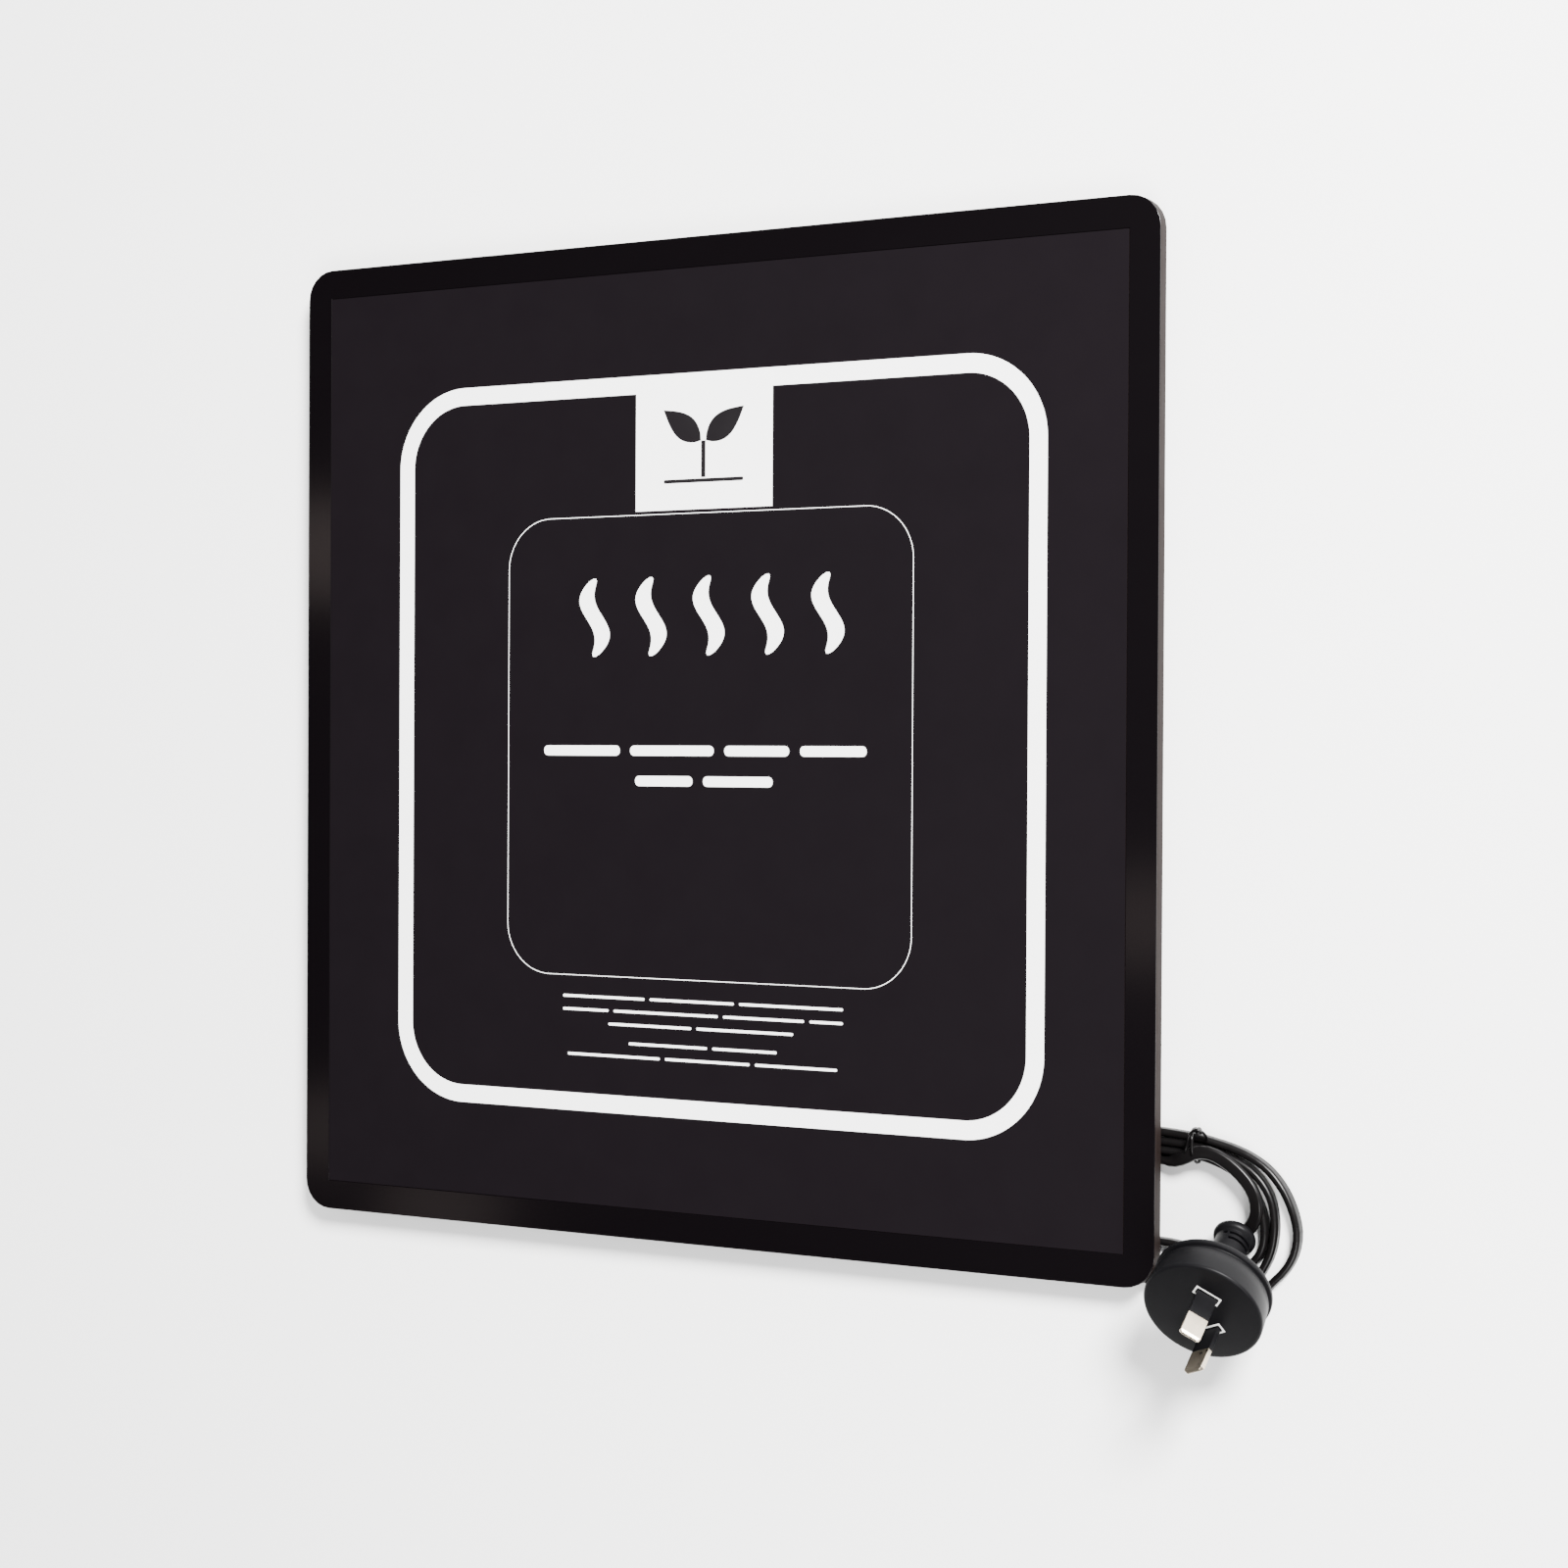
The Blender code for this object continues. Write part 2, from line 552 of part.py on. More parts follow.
def make_entry_wiring():
    """Thermal cut-out, crimps and the cores between them, from the lead's end to the heating wire."""
    length, width, height = CUTOUT_SIZE
    cutout_x, cutout_y = CUTOUT_PLACE
    cutout = box(length, width, CORE_Z - height / 2, CORE_Z + height / 2, entry(cutout_x, cutout_y))
    add_object("thermal_cutout", cutout, "fuse_cream")
    make_crimp("live_crimp", *LIVE_CRIMP)
    make_crimp("neutral_crimp", *NEUTRAL_CRIMP)
    sheath = lead_end_x() - SHEET_GAP
    before = cutout_x + length / 2 + SHEET_GAP
    after = cutout_x - length / 2 - SHEET_GAP
    half = CRIMP_LENGTH / 2 + SHEET_GAP
    live_x, live_y = LIVE_CRIMP
    neutral_x, neutral_y = NEUTRAL_CRIMP
    rise = CRIMP_RISE
    near = 3 * MM
    routes = {
        "live_wire": [
            (sheath, -0.5 * MM, 0), (sheath - near, -3 * MM, 0), (before + near, cutout_y, 0),
            (before, cutout_y, 0),
        ],
        "cutout_link_wire": [
            (after, cutout_y, 0), (after - near, cutout_y, 0.1 * rise),
            (after - near, live_y - 1 * MM, 0.5 * rise),
            (after, live_y, rise), (live_x - half, live_y, rise),
        ],
        "neutral_wire": [
            (sheath, 0.7 * MM, 0), (sheath - near, 2.8 * MM, 0.2 * rise),
            (neutral_x + half + near, neutral_y, 0.8 * rise), (neutral_x + half, neutral_y, rise),
        ],
    }
    for name, route in routes.items():
        points = [(*entry(x, y), CORE_Z + z) for x, y, z in route]
        colour = "neutral_blue" if name == "neutral_wire" else "live_brown"
        tube(name, smooth_points(points, 1.5 * MM), CORE_RADIUS, colour)


def scaled(points):
    return [tuple(value * MM for value in point) for point in points]


def half_turn(radius, middle_y, steps=10):
    """The hank's left end, from its lower run round to its upper one."""
    points = []
    for step in range(steps + 1):
        angle = -math.pi / 2 - math.pi * step / steps
        points.append((HANK_TURN_X + radius * math.cos(angle), middle_y + radius * math.sin(angle)))
    return points


def ring(start, right_end, runs):
    """A closed outline: any corners at its start, the curved right end, and the half turn at the left."""
    upper, lower = runs
    flat = scaled([(x, y, 0) for x, y in right_end])
    curved = [(x / MM, y / MM) for x, y, _ in smooth_points(flat, 4 * MM)]
    return scaled(start + curved + half_turn((upper - lower) / 2, (upper + lower) / 2))


def make_hank():
    """The space that the tied turns of the lead fill."""
    shoulder = [(HANK_SHOULDER[0], HANK_OUTER_RUNS[0]), HANK_SHOULDER]
    outer = ring(shoulder, HANK_OUTSIDE, HANK_OUTER_RUNS)
    top = HANK_BOTTOM + HANK_HEIGHT
    hank = add_object("cord_hank", prism(outer, HANK_BOTTOM, top), "cord_black")
    inner = ring([], HANK_INSIDE, HANK_INNER_RUNS)
    cut(hank, cutter(prism(inner, 0, TOP_Z), "hank_inside"))


def make_lead():
    """The lead from its clamp to the hank, and from the hank to the plug."""
    start = entry(lead_end_x(), 0)
    tip = entry(HOUSING_LENGTH / 2 + RELIEF_LENGTH, 0)
    end_x = HANK_SHOULDER[0] * MM - FIT
    lead = [(*start, EXIT_Z), (*tip, EXIT_Z), (tip[0] + 6 * MM, tip[1], EXIT_Z)]
    lead += [(end_x - 8 * MM, tip[1], CORD_Z), (end_x, tip[1], CORD_Z)]
    tube("cord_lead", smooth_points(lead, 6 * MM), CORD_THICKNESS / 2, "cord_black")
    tube("cord_tail", smooth_points(scaled(TAIL_ROUTE), 3 * MM), CORD_THICKNESS / 2, "cord_black")


def make_tie():
    """Band round the strands just outside the mat."""
    width = TIE_INSIDE_Y[1] - TIE_INSIDE_Y[0]
    height = TIE_INSIDE_Z[1] - TIE_INSIDE_Z[0]
    middle = (sum(TIE_INSIDE_Y) / 2, sum(TIE_INSIDE_Z) / 2)
    upright = Matrix(((0, 0, 1, TIE_X), (1, 0, 0, middle[0]), (0, 1, 0, middle[1]), (0, 0, 0, 1)))
    outside = rounded_rectangle(width + 2 * TIE_WALL, height + 2 * TIE_WALL, 1.2 * MM, 4)
    half = TIE_WIDTH / 2
    tie = add_object("cord_tie", prism(outside, -half, half), "cord_black", upright)
    inside = rounded_rectangle(width, height, 1.2 * MM - TIE_WALL, 4)
    cut(tie, cutter(prism(inside, -TIE_WIDTH, TIE_WIDTH), "tie_inside", upright))


def plug_place():
    """The plug leans on its collar, face up and away: local +Z runs from its face to its collar."""
    sine = math.sin(PLUG_ELEVATION)
    cosine = math.cos(PLUG_ELEVATION)
    face_y = PLUG_COLLAR_END_Y - PLUG_LENGTH * cosine
    face_z = COLLAR_RADIUS * cosine + FIT + PLUG_LENGTH * sine
    return Matrix(((1, 0, 0, PLUG_X), (0, -sine, cosine, face_y), (0, -cosine, -sine, face_z), (0, 0, 0, 1)))


def pin_places():
    """Each pin's own frame: X across its width, Z along the plug."""
    places = {}
    for name, turn in (("active", PIN_MIDDLE - PIN_SPREAD), ("neutral", PIN_MIDDLE + PIN_SPREAD)):
        x = PIN_CIRCLE * math.cos(turn) - PIN_SETBACK * math.cos(PIN_MIDDLE)
        y = PIN_CIRCLE * math.sin(turn) - PIN_SETBACK * math.sin(PIN_MIDDLE)
        across = Matrix.Rotation(turn + math.pi / 2, 4, "Z")
        places[name] = plug_place() @ Matrix.Translation((x, y, 0)) @ across
    return places


def block(half_x, half_y, low, high):
    return loft([(low, half_x, half_y), (high, half_x, half_y)])


def make_plug_body():
    place = plug_place()
    neck_end = PLUG_LENGTH - COLLAR_WIDTH
    profile = [
        (0, 0), (FACE_RADIUS - FACE_EDGE, 0), (FACE_RADIUS, FACE_EDGE), (BODY_END_RADIUS, BODY_LENGTH),
        (FLANGE_RADIUS, BODY_LENGTH), (FLANGE_RADIUS, FLANGE_END - FACE_EDGE),
        (FLANGE_RADIUS - FACE_EDGE, FLANGE_END),
        (NECK_RADIUS + 1.5 * MM, FLANGE_END + 0.8 * MM), (NECK_RADIUS, NECK_START), (NECK_RADIUS, neck_end),
        (COLLAR_RADIUS, neck_end + 0.4 * MM), (COLLAR_RADIUS, PLUG_LENGTH - 0.5 * MM),
        (COLLAR_RADIUS - 0.5 * MM, PLUG_LENGTH), (0, PLUG_LENGTH),
    ]
    body = add_object("plug_body", lathe(profile, 32), "plug_black", place, smooth=True)
    radius = BRIDGE_RADIUS + SHEET_GAP
    low, high = BRIDGE_FRONT - SHEET_GAP, BRIDGE_BACK + SHEET_GAP
    cavity = lathe([(0, low), (radius, low), (radius, high), (0, high)], 24)
    cut(body, cutter(cavity, "bridge_cavity", place))
    seat_x = PIN_WIDTH / 2 + SEAT_MARGIN + SHEET_GAP
    seat_y = PIN_THICKNESS / 2 + SEAT_MARGIN + SHEET_GAP
    for name, pin in pin_places().items():
        cut(body, cutter(block(seat_x, seat_y, -FIT, BRIDGE_FRONT + FIT), f"{name}_seat_slot", pin))
    wide, deep, tall = NECK_SLOT
    for row, height in enumerate(NECK_SLOT_ROWS):
        for side in (0, math.pi):
            turn = Matrix.Rotation(side + row % 2 * math.pi / 2, 4, "Z")
            offset = Matrix.Translation((NECK_RADIUS, 0, height))
            slot = block(deep, wide / 2, -tall / 2, tall / 2)
            cut(body, cutter(slot, f"neck_slot_{row}_{int(side)}", place @ turn @ offset))


def make_pin_bridge():
    """Pale inner moulding that holds the pins; its two seats show round them in the face."""
    place = plug_place()
    front, back = BRIDGE_FRONT, BRIDGE_BACK
    profile = [(0, front), (BRIDGE_RADIUS, front), (BRIDGE_RADIUS, back), (0, back)]
    bridge = add_object("plug_pin_bridge", lathe(profile, 24), "seat_grey", place)
    core_x, core_y = pin_core()
    for name, pin in pin_places().items():
        seat = block(PIN_WIDTH / 2 + SEAT_MARGIN, PIN_THICKNESS / 2 + SEAT_MARGIN, 0, BRIDGE_FRONT + FIT)
        cut(bridge, cutter(seat, f"{name}_seat", pin), "UNION")
        slot = block(core_x + SHEET_GAP, core_y + SHEET_GAP, -FIT, PIN_ROOT + SHEET_GAP)
        cut(bridge, cutter(slot, f"{name}_root_slot", pin))


def pin_core():
    """Half width and half thickness of a pin inside its sleeve."""
    return PIN_WIDTH / 2 - PIN_CORE_STEP, PIN_THICKNESS / 2 - PIN_CORE_STEP


def make_pins():
    core_x, core_y = pin_core()
    half_x = PIN_WIDTH / 2
    half_y = PIN_THICKNESS / 2
    bare = -SLEEVE_LENGTH - SHEET_GAP
    for name, pin in pin_places().items():
        sections = [
            (-PIN_LENGTH, half_x - PIN_CHAMFER, half_y / 2), (PIN_CHAMFER - PIN_LENGTH, half_x, half_y),
            (bare, half_x, half_y), (bare, core_x, core_y), (PIN_ROOT, core_x, core_y),
        ]
        add_object(f"plug_pin_{name}", loft(sections), "nickel", pin)
        sleeve = add_object(
            f"pin_sleeve_{name}", block(half_x, half_y, -SLEEVE_LENGTH, -SHEET_GAP), "plug_black", pin
        )
        bore = block(core_x + SHEET_GAP, core_y + SHEET_GAP, -PIN_LENGTH, FIT)
        cut(sleeve, cutter(bore, f"{name}_sleeve_bore", pin))


clear_scene()
make_tray()
make_panel()
make_sheets()
tube("heating_wire", heating_wire_points(), WIRE_DIAMETER / 2, "resistance_wire")
make_feet()
make_housing()
make_strain_relief()
make_clamp()
make_entry_wiring()
make_hank()
make_lead()
make_tie()
make_plug_body()
make_pin_bridge()
make_pins()
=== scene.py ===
"""Seedling heat mat: the look of the mat, its print, its tied flat lead and its plug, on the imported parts.

The mat lies flat with its print up. The origin is under the middle of the mat, on the surface its feet
stand on. +X runs to the side where the lead comes out, +Y to the top of the print, +Z up. Metres.
"""

import json
import math

import bmesh
import bpy
from bpy.props import FloatProperty, FloatVectorProperty, IntProperty, PointerProperty
from mathutils import Matrix, Vector


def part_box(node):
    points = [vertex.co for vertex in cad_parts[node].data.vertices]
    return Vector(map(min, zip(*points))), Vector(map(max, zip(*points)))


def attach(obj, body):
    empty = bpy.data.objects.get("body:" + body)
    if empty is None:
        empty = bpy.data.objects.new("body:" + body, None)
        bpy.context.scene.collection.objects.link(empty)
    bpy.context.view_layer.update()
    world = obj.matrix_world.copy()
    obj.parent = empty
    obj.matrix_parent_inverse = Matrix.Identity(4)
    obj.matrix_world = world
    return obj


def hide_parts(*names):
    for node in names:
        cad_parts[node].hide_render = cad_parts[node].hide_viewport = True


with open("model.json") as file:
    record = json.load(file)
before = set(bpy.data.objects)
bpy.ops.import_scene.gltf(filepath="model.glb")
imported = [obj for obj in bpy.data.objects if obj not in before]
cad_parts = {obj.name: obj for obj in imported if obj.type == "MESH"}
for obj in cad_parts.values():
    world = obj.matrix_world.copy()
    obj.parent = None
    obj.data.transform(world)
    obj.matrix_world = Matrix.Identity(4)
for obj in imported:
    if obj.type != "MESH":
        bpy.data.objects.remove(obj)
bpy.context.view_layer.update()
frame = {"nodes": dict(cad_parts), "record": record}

bl_info = {
    "name": "Seedling heat mat",
    "version": (1, 0, 0),
    "blender": (4, 5, 0),
    "location": "3D View > Sidebar > Heat mat",
    "description": "Builds a printed heat mat for seed trays with its tied lead and plug",
    "category": "Object",
}

MM = 0.001
PANEL_LOW, PANEL_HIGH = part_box("top_panel")
FACE_LOW, FACE_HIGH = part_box("printed_face_sheet")
MAT_WIDTH = PANEL_HIGH.x - PANEL_LOW.x
MAT_HEIGHT = PANEL_HIGH.y - PANEL_LOW.y
FACE_Z = FACE_HIGH.z

# The lead's route, in millimetres: x, y, z and how far the flat cord is turned over, in degrees
LEAD_START = [
    (-10, -118.4, 2.8, 0), (-4, -118.4, 2.8, 0), (2, -118.4, 2.7, 0), (14, -118.2, 2.3, 0),
    (30, -117.9, 2.15, 0), (60, -117.8, 2.15, 0), (95, -117.8, 2.15, 0), (130, -117.7, 2.15, 0),
    (152, -117.7, 2.15, 0),
]
FIRST_LOOP = [
    (161, -117.9, 2.3, 0), (171, -118.8, 2.85, 0), (176, -119.8, 2.6, 0), (182, -121.4, 2.25, 0),
    (187.6, -123.6, 2.15, 0), (193.2, -127.2, 2.15, 4), (197.8, -132.6, 2.15, 6), (200.8, -138.8, 2.15, 6),
    (202.2, -145.2, 2.15, 4), (201.3, -151.4, 2.15, 0), (198.4, -156.6, 2.15, 0), (194.4, -160.8, 2.15, 0),
    (191.0, -164.8, 2.15, 0), (187.0, -168.8, 2.15, 0), (182.0, -171.4, 2.15, 0), (176.0, -171.9, 2.15, 0),
    (169.6, -170.0, 2.15, 0), (161.6, -165.8, 2.15, 0), (152, -162.2, 2.15, 0), (142, -160.8, 2.15, 0),
]
SECOND_LOOP = [
    (152, -120.7, 2.15, 0), (161, -120.7, 2.3, 0), (171, -121.5, 2.85, 0), (177, -122.8, 2.6, 0),
    (183, -125.0, 2.25, 0), (188.0, -127.9, 2.15, 0), (191.8, -131.8, 2.15, 0), (194.2, -136.4, 2.15, 0),
    (195.2, -141.6, 2.15, 0), (195.1, -147.0, 2.15, 0), (193.9, -152.2, 2.15, 0), (191.6, -157.0, 2.6, 0),
    (188.8, -161.6, 4.2, 0), (185.6, -166.0, 6.4, 0), (181.0, -169.4, 7.5, 0), (175.4, -170.0, 7.2, 0),
    (170.2, -167.3, 6.1, 0), (165.4, -163.4, 4.2, 0), (160.2, -160.4, 2.6, 0), (153, -158.4, 2.15, 0),
    (145, -157.6, 2.15, 0), (136, -157.4, 2.15, 0),
]
THIRD_LOOP = [
    (152, -123.3, 2.15, 0), (161, -123.4, 2.3, 0), (171, -124.2, 2.85, 0), (176, -125.4, 2.6, 0),
    (181, -127.5, 2.25, 0), (185.4, -130.5, 2.15, 0), (188.8, -134.6, 2.15, 0), (191.0, -139.2, 2.15, 0),
    (192.1, -144.4, 2.15, 0), (191.8, -149.2, 2.15, 0), (190.0, -153.3, 2.15, 0), (186.7, -156.3, 2.15, 0),
    (182.4, -157.5, 2.15, 0), (178.0, -156.8, 2.15, 0), (173.4, -154.7, 2.15, 0), (168.2, -152.5, 2.15, 0),
    (161.6, -151.3, 2.15, 0), (152, -151.3, 2.15, 0), (142, -151.7, 2.15, 0),
]
PLUG_STRAND = [
    (146, -126.0, 2.15, 0), (155, -126.1, 2.15, 0), (160.2, -126.3, 2.5, 12), (164.0, -126.1, 4.3, 60),
    (167.6, -124.9, 5.9, 88), (171.8, -122.9, 6.35, 90), (176.6, -123.0, 6.2, 90),
    (181.8, -125.6, 5.95, 90), (186.2, -129.3, 5.75, 90), (189.3, -133.4, 5.7, 90),
    (190.5, -137.9, 5.5, 90), (189.5, -142.0, 4.5, 86), (187.1, -145.3, 3.4, 80),
    (184.8, -147.6, 3.2, 74), (183.6, -149.6, 3.9, 66),
]
# The turns' far ends: y of the upper and the lower run of each. Then the lead's height where it lies flat
LEFT_TURNS = [(-120.7, -160.6), (-123.3, -157.4), (-126.0, -151.8)]
LYING = 2.15
TURN_STEPS = 12
ROUTE_SPACING = 2.2

# Where the plug's collar rests: its end's place along y, its radius there and the gap kept under it
COLLAR_Y = -146.9 * MM
COLLAR_RADIUS = 5.95 * MM
COLLAR_GAP = 0.3 * MM
PIN_WIDTH = 6.35 * MM


def shade(name, default, description):
    """A colour that the panel shows."""
    return FloatVectorProperty(
        name=name, description=description, default=default, min=0.0, max=1.0, size=3,
        subtype="COLOR_GAMMA",
    )


def length(name, default, description):
    """A size in metres that the panel shows."""
    return FloatProperty(
        name=name, description=description, default=default, min=0.0, precision=5, unit="LENGTH",
        subtype="DISTANCE",
    )


class HeatMatFinishes(bpy.types.PropertyGroup):
    """Colours of the mat, its print and its lead, as linear values."""

    border: shade("Border", (0.0009, 0.0004, 0.0008), "Gloss border of the panel")
    face: shade("Face", (0.0036, 0.0026, 0.0035), "Matt ground of the print")
    ink: shade("Ink", (0.95, 0.95, 0.95), "White of the print")
    tray: shade("Tray", (0.0105, 0.0072, 0.0066), "Side and underside of the mat")
    rubber: shade("Rubber", (0.008, 0.008, 0.0084), "Feet, seal and strain relief")
    lead: shade("Lead", (0.0024, 0.0021, 0.0022), "Sheath of the flat lead")
    plug: shade("Plug", (0.0026, 0.0025, 0.003), "Moulded body of the plug")
    seat: shade("Seat", (0.62, 0.62, 0.6), "Pale moulding round the pins")
    nickel: shade("Nickel", (0.6, 0.52, 0.41), "Plate on the pins")


class HeatMatPrint(bpy.types.PropertyGroup):
    """Sizes of the print."""

    thickness: length("Ink thickness", 0.03 * MM, "How far the print stands on the face")
    frame_width: length("Frame width", 243.6 * MM, "Outside width of the broad frame")
    frame_height: length("Frame height", 244.4 * MM, "Outside height of the broad frame")
    frame_band: length("Frame band", 6.0 * MM, "Width of the broad frame's line")
    frame_radius: length("Frame radius", 27.0 * MM, "Outside corner radius of the broad frame")
    fine_width: length("Fine frame width", 152.8 * MM, "Outside width of the fine frame")
    fine_height: length("Fine frame height", 153.2 * MM, "Outside height of the fine frame")
    fine_band: length("Fine frame band", 0.22 * MM, "Width of the fine frame's line")
    fine_radius: length("Fine frame radius", 17.0 * MM, "Corner radius of the fine frame")
    label_width: length("Label width", 51.6 * MM, "Width of the white label")
    label_height: length("Label height", 42.0 * MM, "Height of the white label")


class HeatMatLead(bpy.types.PropertyGroup):
    """Sizes of the flat twin lead and its tie."""

    width: length("Width", 4.2 * MM, "Across both cores of the flat lead")
    thickness: length("Thickness", 2.5 * MM, "Across one core of the flat lead")
    groove: length("Groove", 0.28 * MM, "Depth of the groove between the cores")
    turn_x: length("Turn place", 18.0 * MM, "Place of the tied turns' far ends, from the mat's middle")
    tie_radius: length("Tie radius", 0.45 * MM, "Half the thickness of the tie")


class HeatMatPlug(bpy.types.PropertyGroup):
    """Sizes of the plug."""

    elevation: FloatProperty(
        name="Lean", description="How far the plug's axis rises from the surface",
        default=math.radians(57), subtype="ANGLE",
    )
    length: length("Length", 34.0 * MM, "From the plug's face to the end of its collar")
    steps: IntProperty(name="Steps", description="Faces round the plug", default=96, min=24, max=256)


class HeatMatStudio(bpy.types.PropertyGroup):
    """Light and floor."""

    floor: shade("Floor", (0.93, 0.93, 0.93), "Colour of the floor")
    key: FloatProperty(name="Key", description="Power of the key light in watts", default=235.0, min=0.0)
    fill: FloatProperty(name="Fill", description="Power of the fill light in watts", default=40.0, min=0.0)
    sky: FloatProperty(
        name="Sky", description="Strength of the light from all round", default=0.95, min=0.0,
    )
    glint: FloatProperty(
        name="Glint", description="Strength of the small lights mirrored in the gloss border",
        default=0.6, min=0.0,
    )


# ---------------------------------------------------------------- finishes


def socket_group(name, inputs, outputs):
    """A shader node group with its sockets, its input node and its output node."""
    group = bpy.data.node_groups.new(name, "ShaderNodeTree")
    for label, kind, value in inputs:
        item = group.interface.new_socket(label, in_out="INPUT", socket_type=kind)
        if value is not None:
            item.default_value = value
    for label, kind in outputs:
        group.interface.new_socket(label, in_out="OUTPUT", socket_type=kind)
    return group, group.nodes.new("NodeGroupInput"), group.nodes.new("NodeGroupOutput")


def grain_group():
    """Fine moulded grain: a height for a bump, and a slow change of tone."""
    found = bpy.data.node_groups.get("moulded_grain")
    if found:
        return found
    inputs = [("Vector", "NodeSocketVector", None), ("Scale", "NodeSocketFloat", 900.0)]
    group, start, end = socket_group(
        "moulded_grain", inputs, [("Height", "NodeSocketFloat"), ("Tone", "NodeSocketFloat")]
    )
    nodes, links = group.nodes, group.links
    fine = nodes.new("ShaderNodeTexNoise")
    fine.inputs["Detail"].default_value = 3.0
    fine.inputs["Roughness"].default_value = 0.6
    links.new(start.outputs["Vector"], fine.inputs["Vector"])
    links.new(start.outputs["Scale"], fine.inputs["Scale"])
    slower = nodes.new("ShaderNodeMath")
    slower.operation = "MULTIPLY"
    slower.inputs[1].default_value = 0.045
    links.new(start.outputs["Scale"], slower.inputs[0])
    slow = nodes.new("ShaderNodeTexNoise")
    slow.inputs["Detail"].default_value = 4.0
    slow.inputs["Roughness"].default_value = 0.55
    links.new(start.outputs["Vector"], slow.inputs["Vector"])
    links.new(slower.outputs[0], slow.inputs["Scale"])
    links.new(fine.outputs["Fac"], end.inputs["Height"])
    links.new(slow.outputs["Fac"], end.inputs["Tone"])
    return group


def handling_group():
    """Faint wipe marks and dust, as a mask."""
    found = bpy.data.node_groups.get("handling_marks")
    if found:
        return found
    inputs = [
        ("Vector", "NodeSocketVector", None), ("Scale", "NodeSocketFloat", 14.0),
        ("Amount", "NodeSocketFloat", 0.5),
    ]
    group, start, end = socket_group("handling_marks", inputs, [("Mask", "NodeSocketFloat")])
    nodes, links = group.nodes, group.links
    stretch = nodes.new("ShaderNodeMapping")
    stretch.inputs["Rotation"].default_value = (0, 0, math.radians(34))
    stretch.inputs["Scale"].default_value = (1.0, 3.2, 1.0)
    links.new(start.outputs["Vector"], stretch.inputs["Vector"])
    wipe = nodes.new("ShaderNodeTexNoise")
    wipe.inputs["Detail"].default_value = 5.0
    wipe.inputs["Roughness"].default_value = 0.62
    wipe.inputs["Distortion"].default_value = 0.6
    links.new(stretch.outputs["Vector"], wipe.inputs["Vector"])
    links.new(start.outputs["Scale"], wipe.inputs["Scale"])
    shape = nodes.new("ShaderNodeMapRange")
    shape.interpolation_type = "SMOOTHSTEP"
    shape.inputs["From Min"].default_value = 0.45
    shape.inputs["From Max"].default_value = 0.75
    links.new(wipe.outputs["Fac"], shape.inputs["Value"])
    scale = nodes.new("ShaderNodeMath")
    scale.operation = "MULTIPLY"
    links.new(shape.outputs["Result"], scale.inputs[0])
    links.new(start.outputs["Amount"], scale.inputs[1])
    links.new(scale.outputs[0], end.inputs["Mask"])
    return group


def place_group(material, group, vector, **values):
    """Puts a node group into a material, with its own values."""
    node = material.node_tree.nodes.new("ShaderNodeGroup")
    node.node_tree = group
    material.node_tree.links.new(vector, node.inputs["Vector"])
    for label, value in values.items():
        node.inputs[label.replace("_", " ").title()].default_value = value
    return node


def tone_mix(material, fac, first, second):
    """A colour between two, by a mask."""
    mix = material.node_tree.nodes.new("ShaderNodeMix")
    mix.data_type = "RGBA"
    mix.inputs[6].default_value = (*first, 1.0)
    mix.inputs[7].default_value = (*second, 1.0)
    material.node_tree.links.new(fac, mix.inputs[0])
    return mix.outputs[2]


def map_value(material, value, low, high, start=0.3, stop=0.7):
    """A value between two, as another one goes from start to stop."""
    node = material.node_tree.nodes.new("ShaderNodeMapRange")
    node.inputs["From Min"].default_value = start
    node.inputs["From Max"].default_value = stop
    node.inputs["To Min"].default_value = low
    node.inputs["To Max"].default_value = high
    material.node_tree.links.new(value, node.inputs["Value"])
    return node.outputs["Result"]


def bump(material, height, distance):
    """Relief of this depth from a height."""
    node = material.node_tree.nodes.new("ShaderNodeBump")
    node.inputs["Distance"].default_value = distance
    node.inputs["Strength"].default_value = 1.0
    material.node_tree.links.new(height, node.inputs["Height"])
    material.node_tree.links.new(node.outputs["Normal"], shader_of(material).inputs["Normal"])


def shader_of(material):
    return material.node_tree.nodes["Principled BSDF"]


def new_finish(name, metallic=0.0, specular=0.5):
    """An empty material, and the coordinates that its patterns follow."""
    material = bpy.data.materials.new(name)
    material.use_nodes = True
    shader = shader_of(material)
    shader.inputs["Metallic"].default_value = metallic
    shader.inputs["Specular IOR Level"].default_value = specular
    coordinates = material.node_tree.nodes.new("ShaderNodeTexCoord")
    return material, coordinates.outputs["Object"]


def lighter(colour, factor):
    return tuple(min(1.0, channel * factor) for channel in colour)


def moulded(name, colour, roughness, scale=900.0, height=0.02, tone=0.12, marks=0.0, specular=0.5):
    """Moulded or printed material: fine grain, a little change of tone, and handling marks."""
    found = bpy.data.materials.get(name)
    if found:
        return found
    material, where = new_finish(name, specular=specular)
    links = material.node_tree.links
    shader = shader_of(material)
    grain = place_group(material, grain_group(), where, scale=scale)
    ground = tone_mix(material, grain.outputs["Tone"], lighter(colour, 1 - tone), lighter(colour, 1 + tone))
    links.new(ground, shader.inputs["Base Color"])
    rough = map_value(material, grain.outputs["Tone"], roughness - 0.04, roughness + 0.05)
    if marks:
        wiped = place_group(material, handling_group(), where, scale=16.0, amount=marks)
        add = material.node_tree.nodes.new("ShaderNodeMath")
        links.new(rough, add.inputs[0])
        links.new(wiped.outputs["Mask"], add.inputs[1])
        rough = add.outputs[0]
    links.new(rough, shader.inputs["Roughness"])
    bump(material, grain.outputs["Height"], height * MM)
    return material


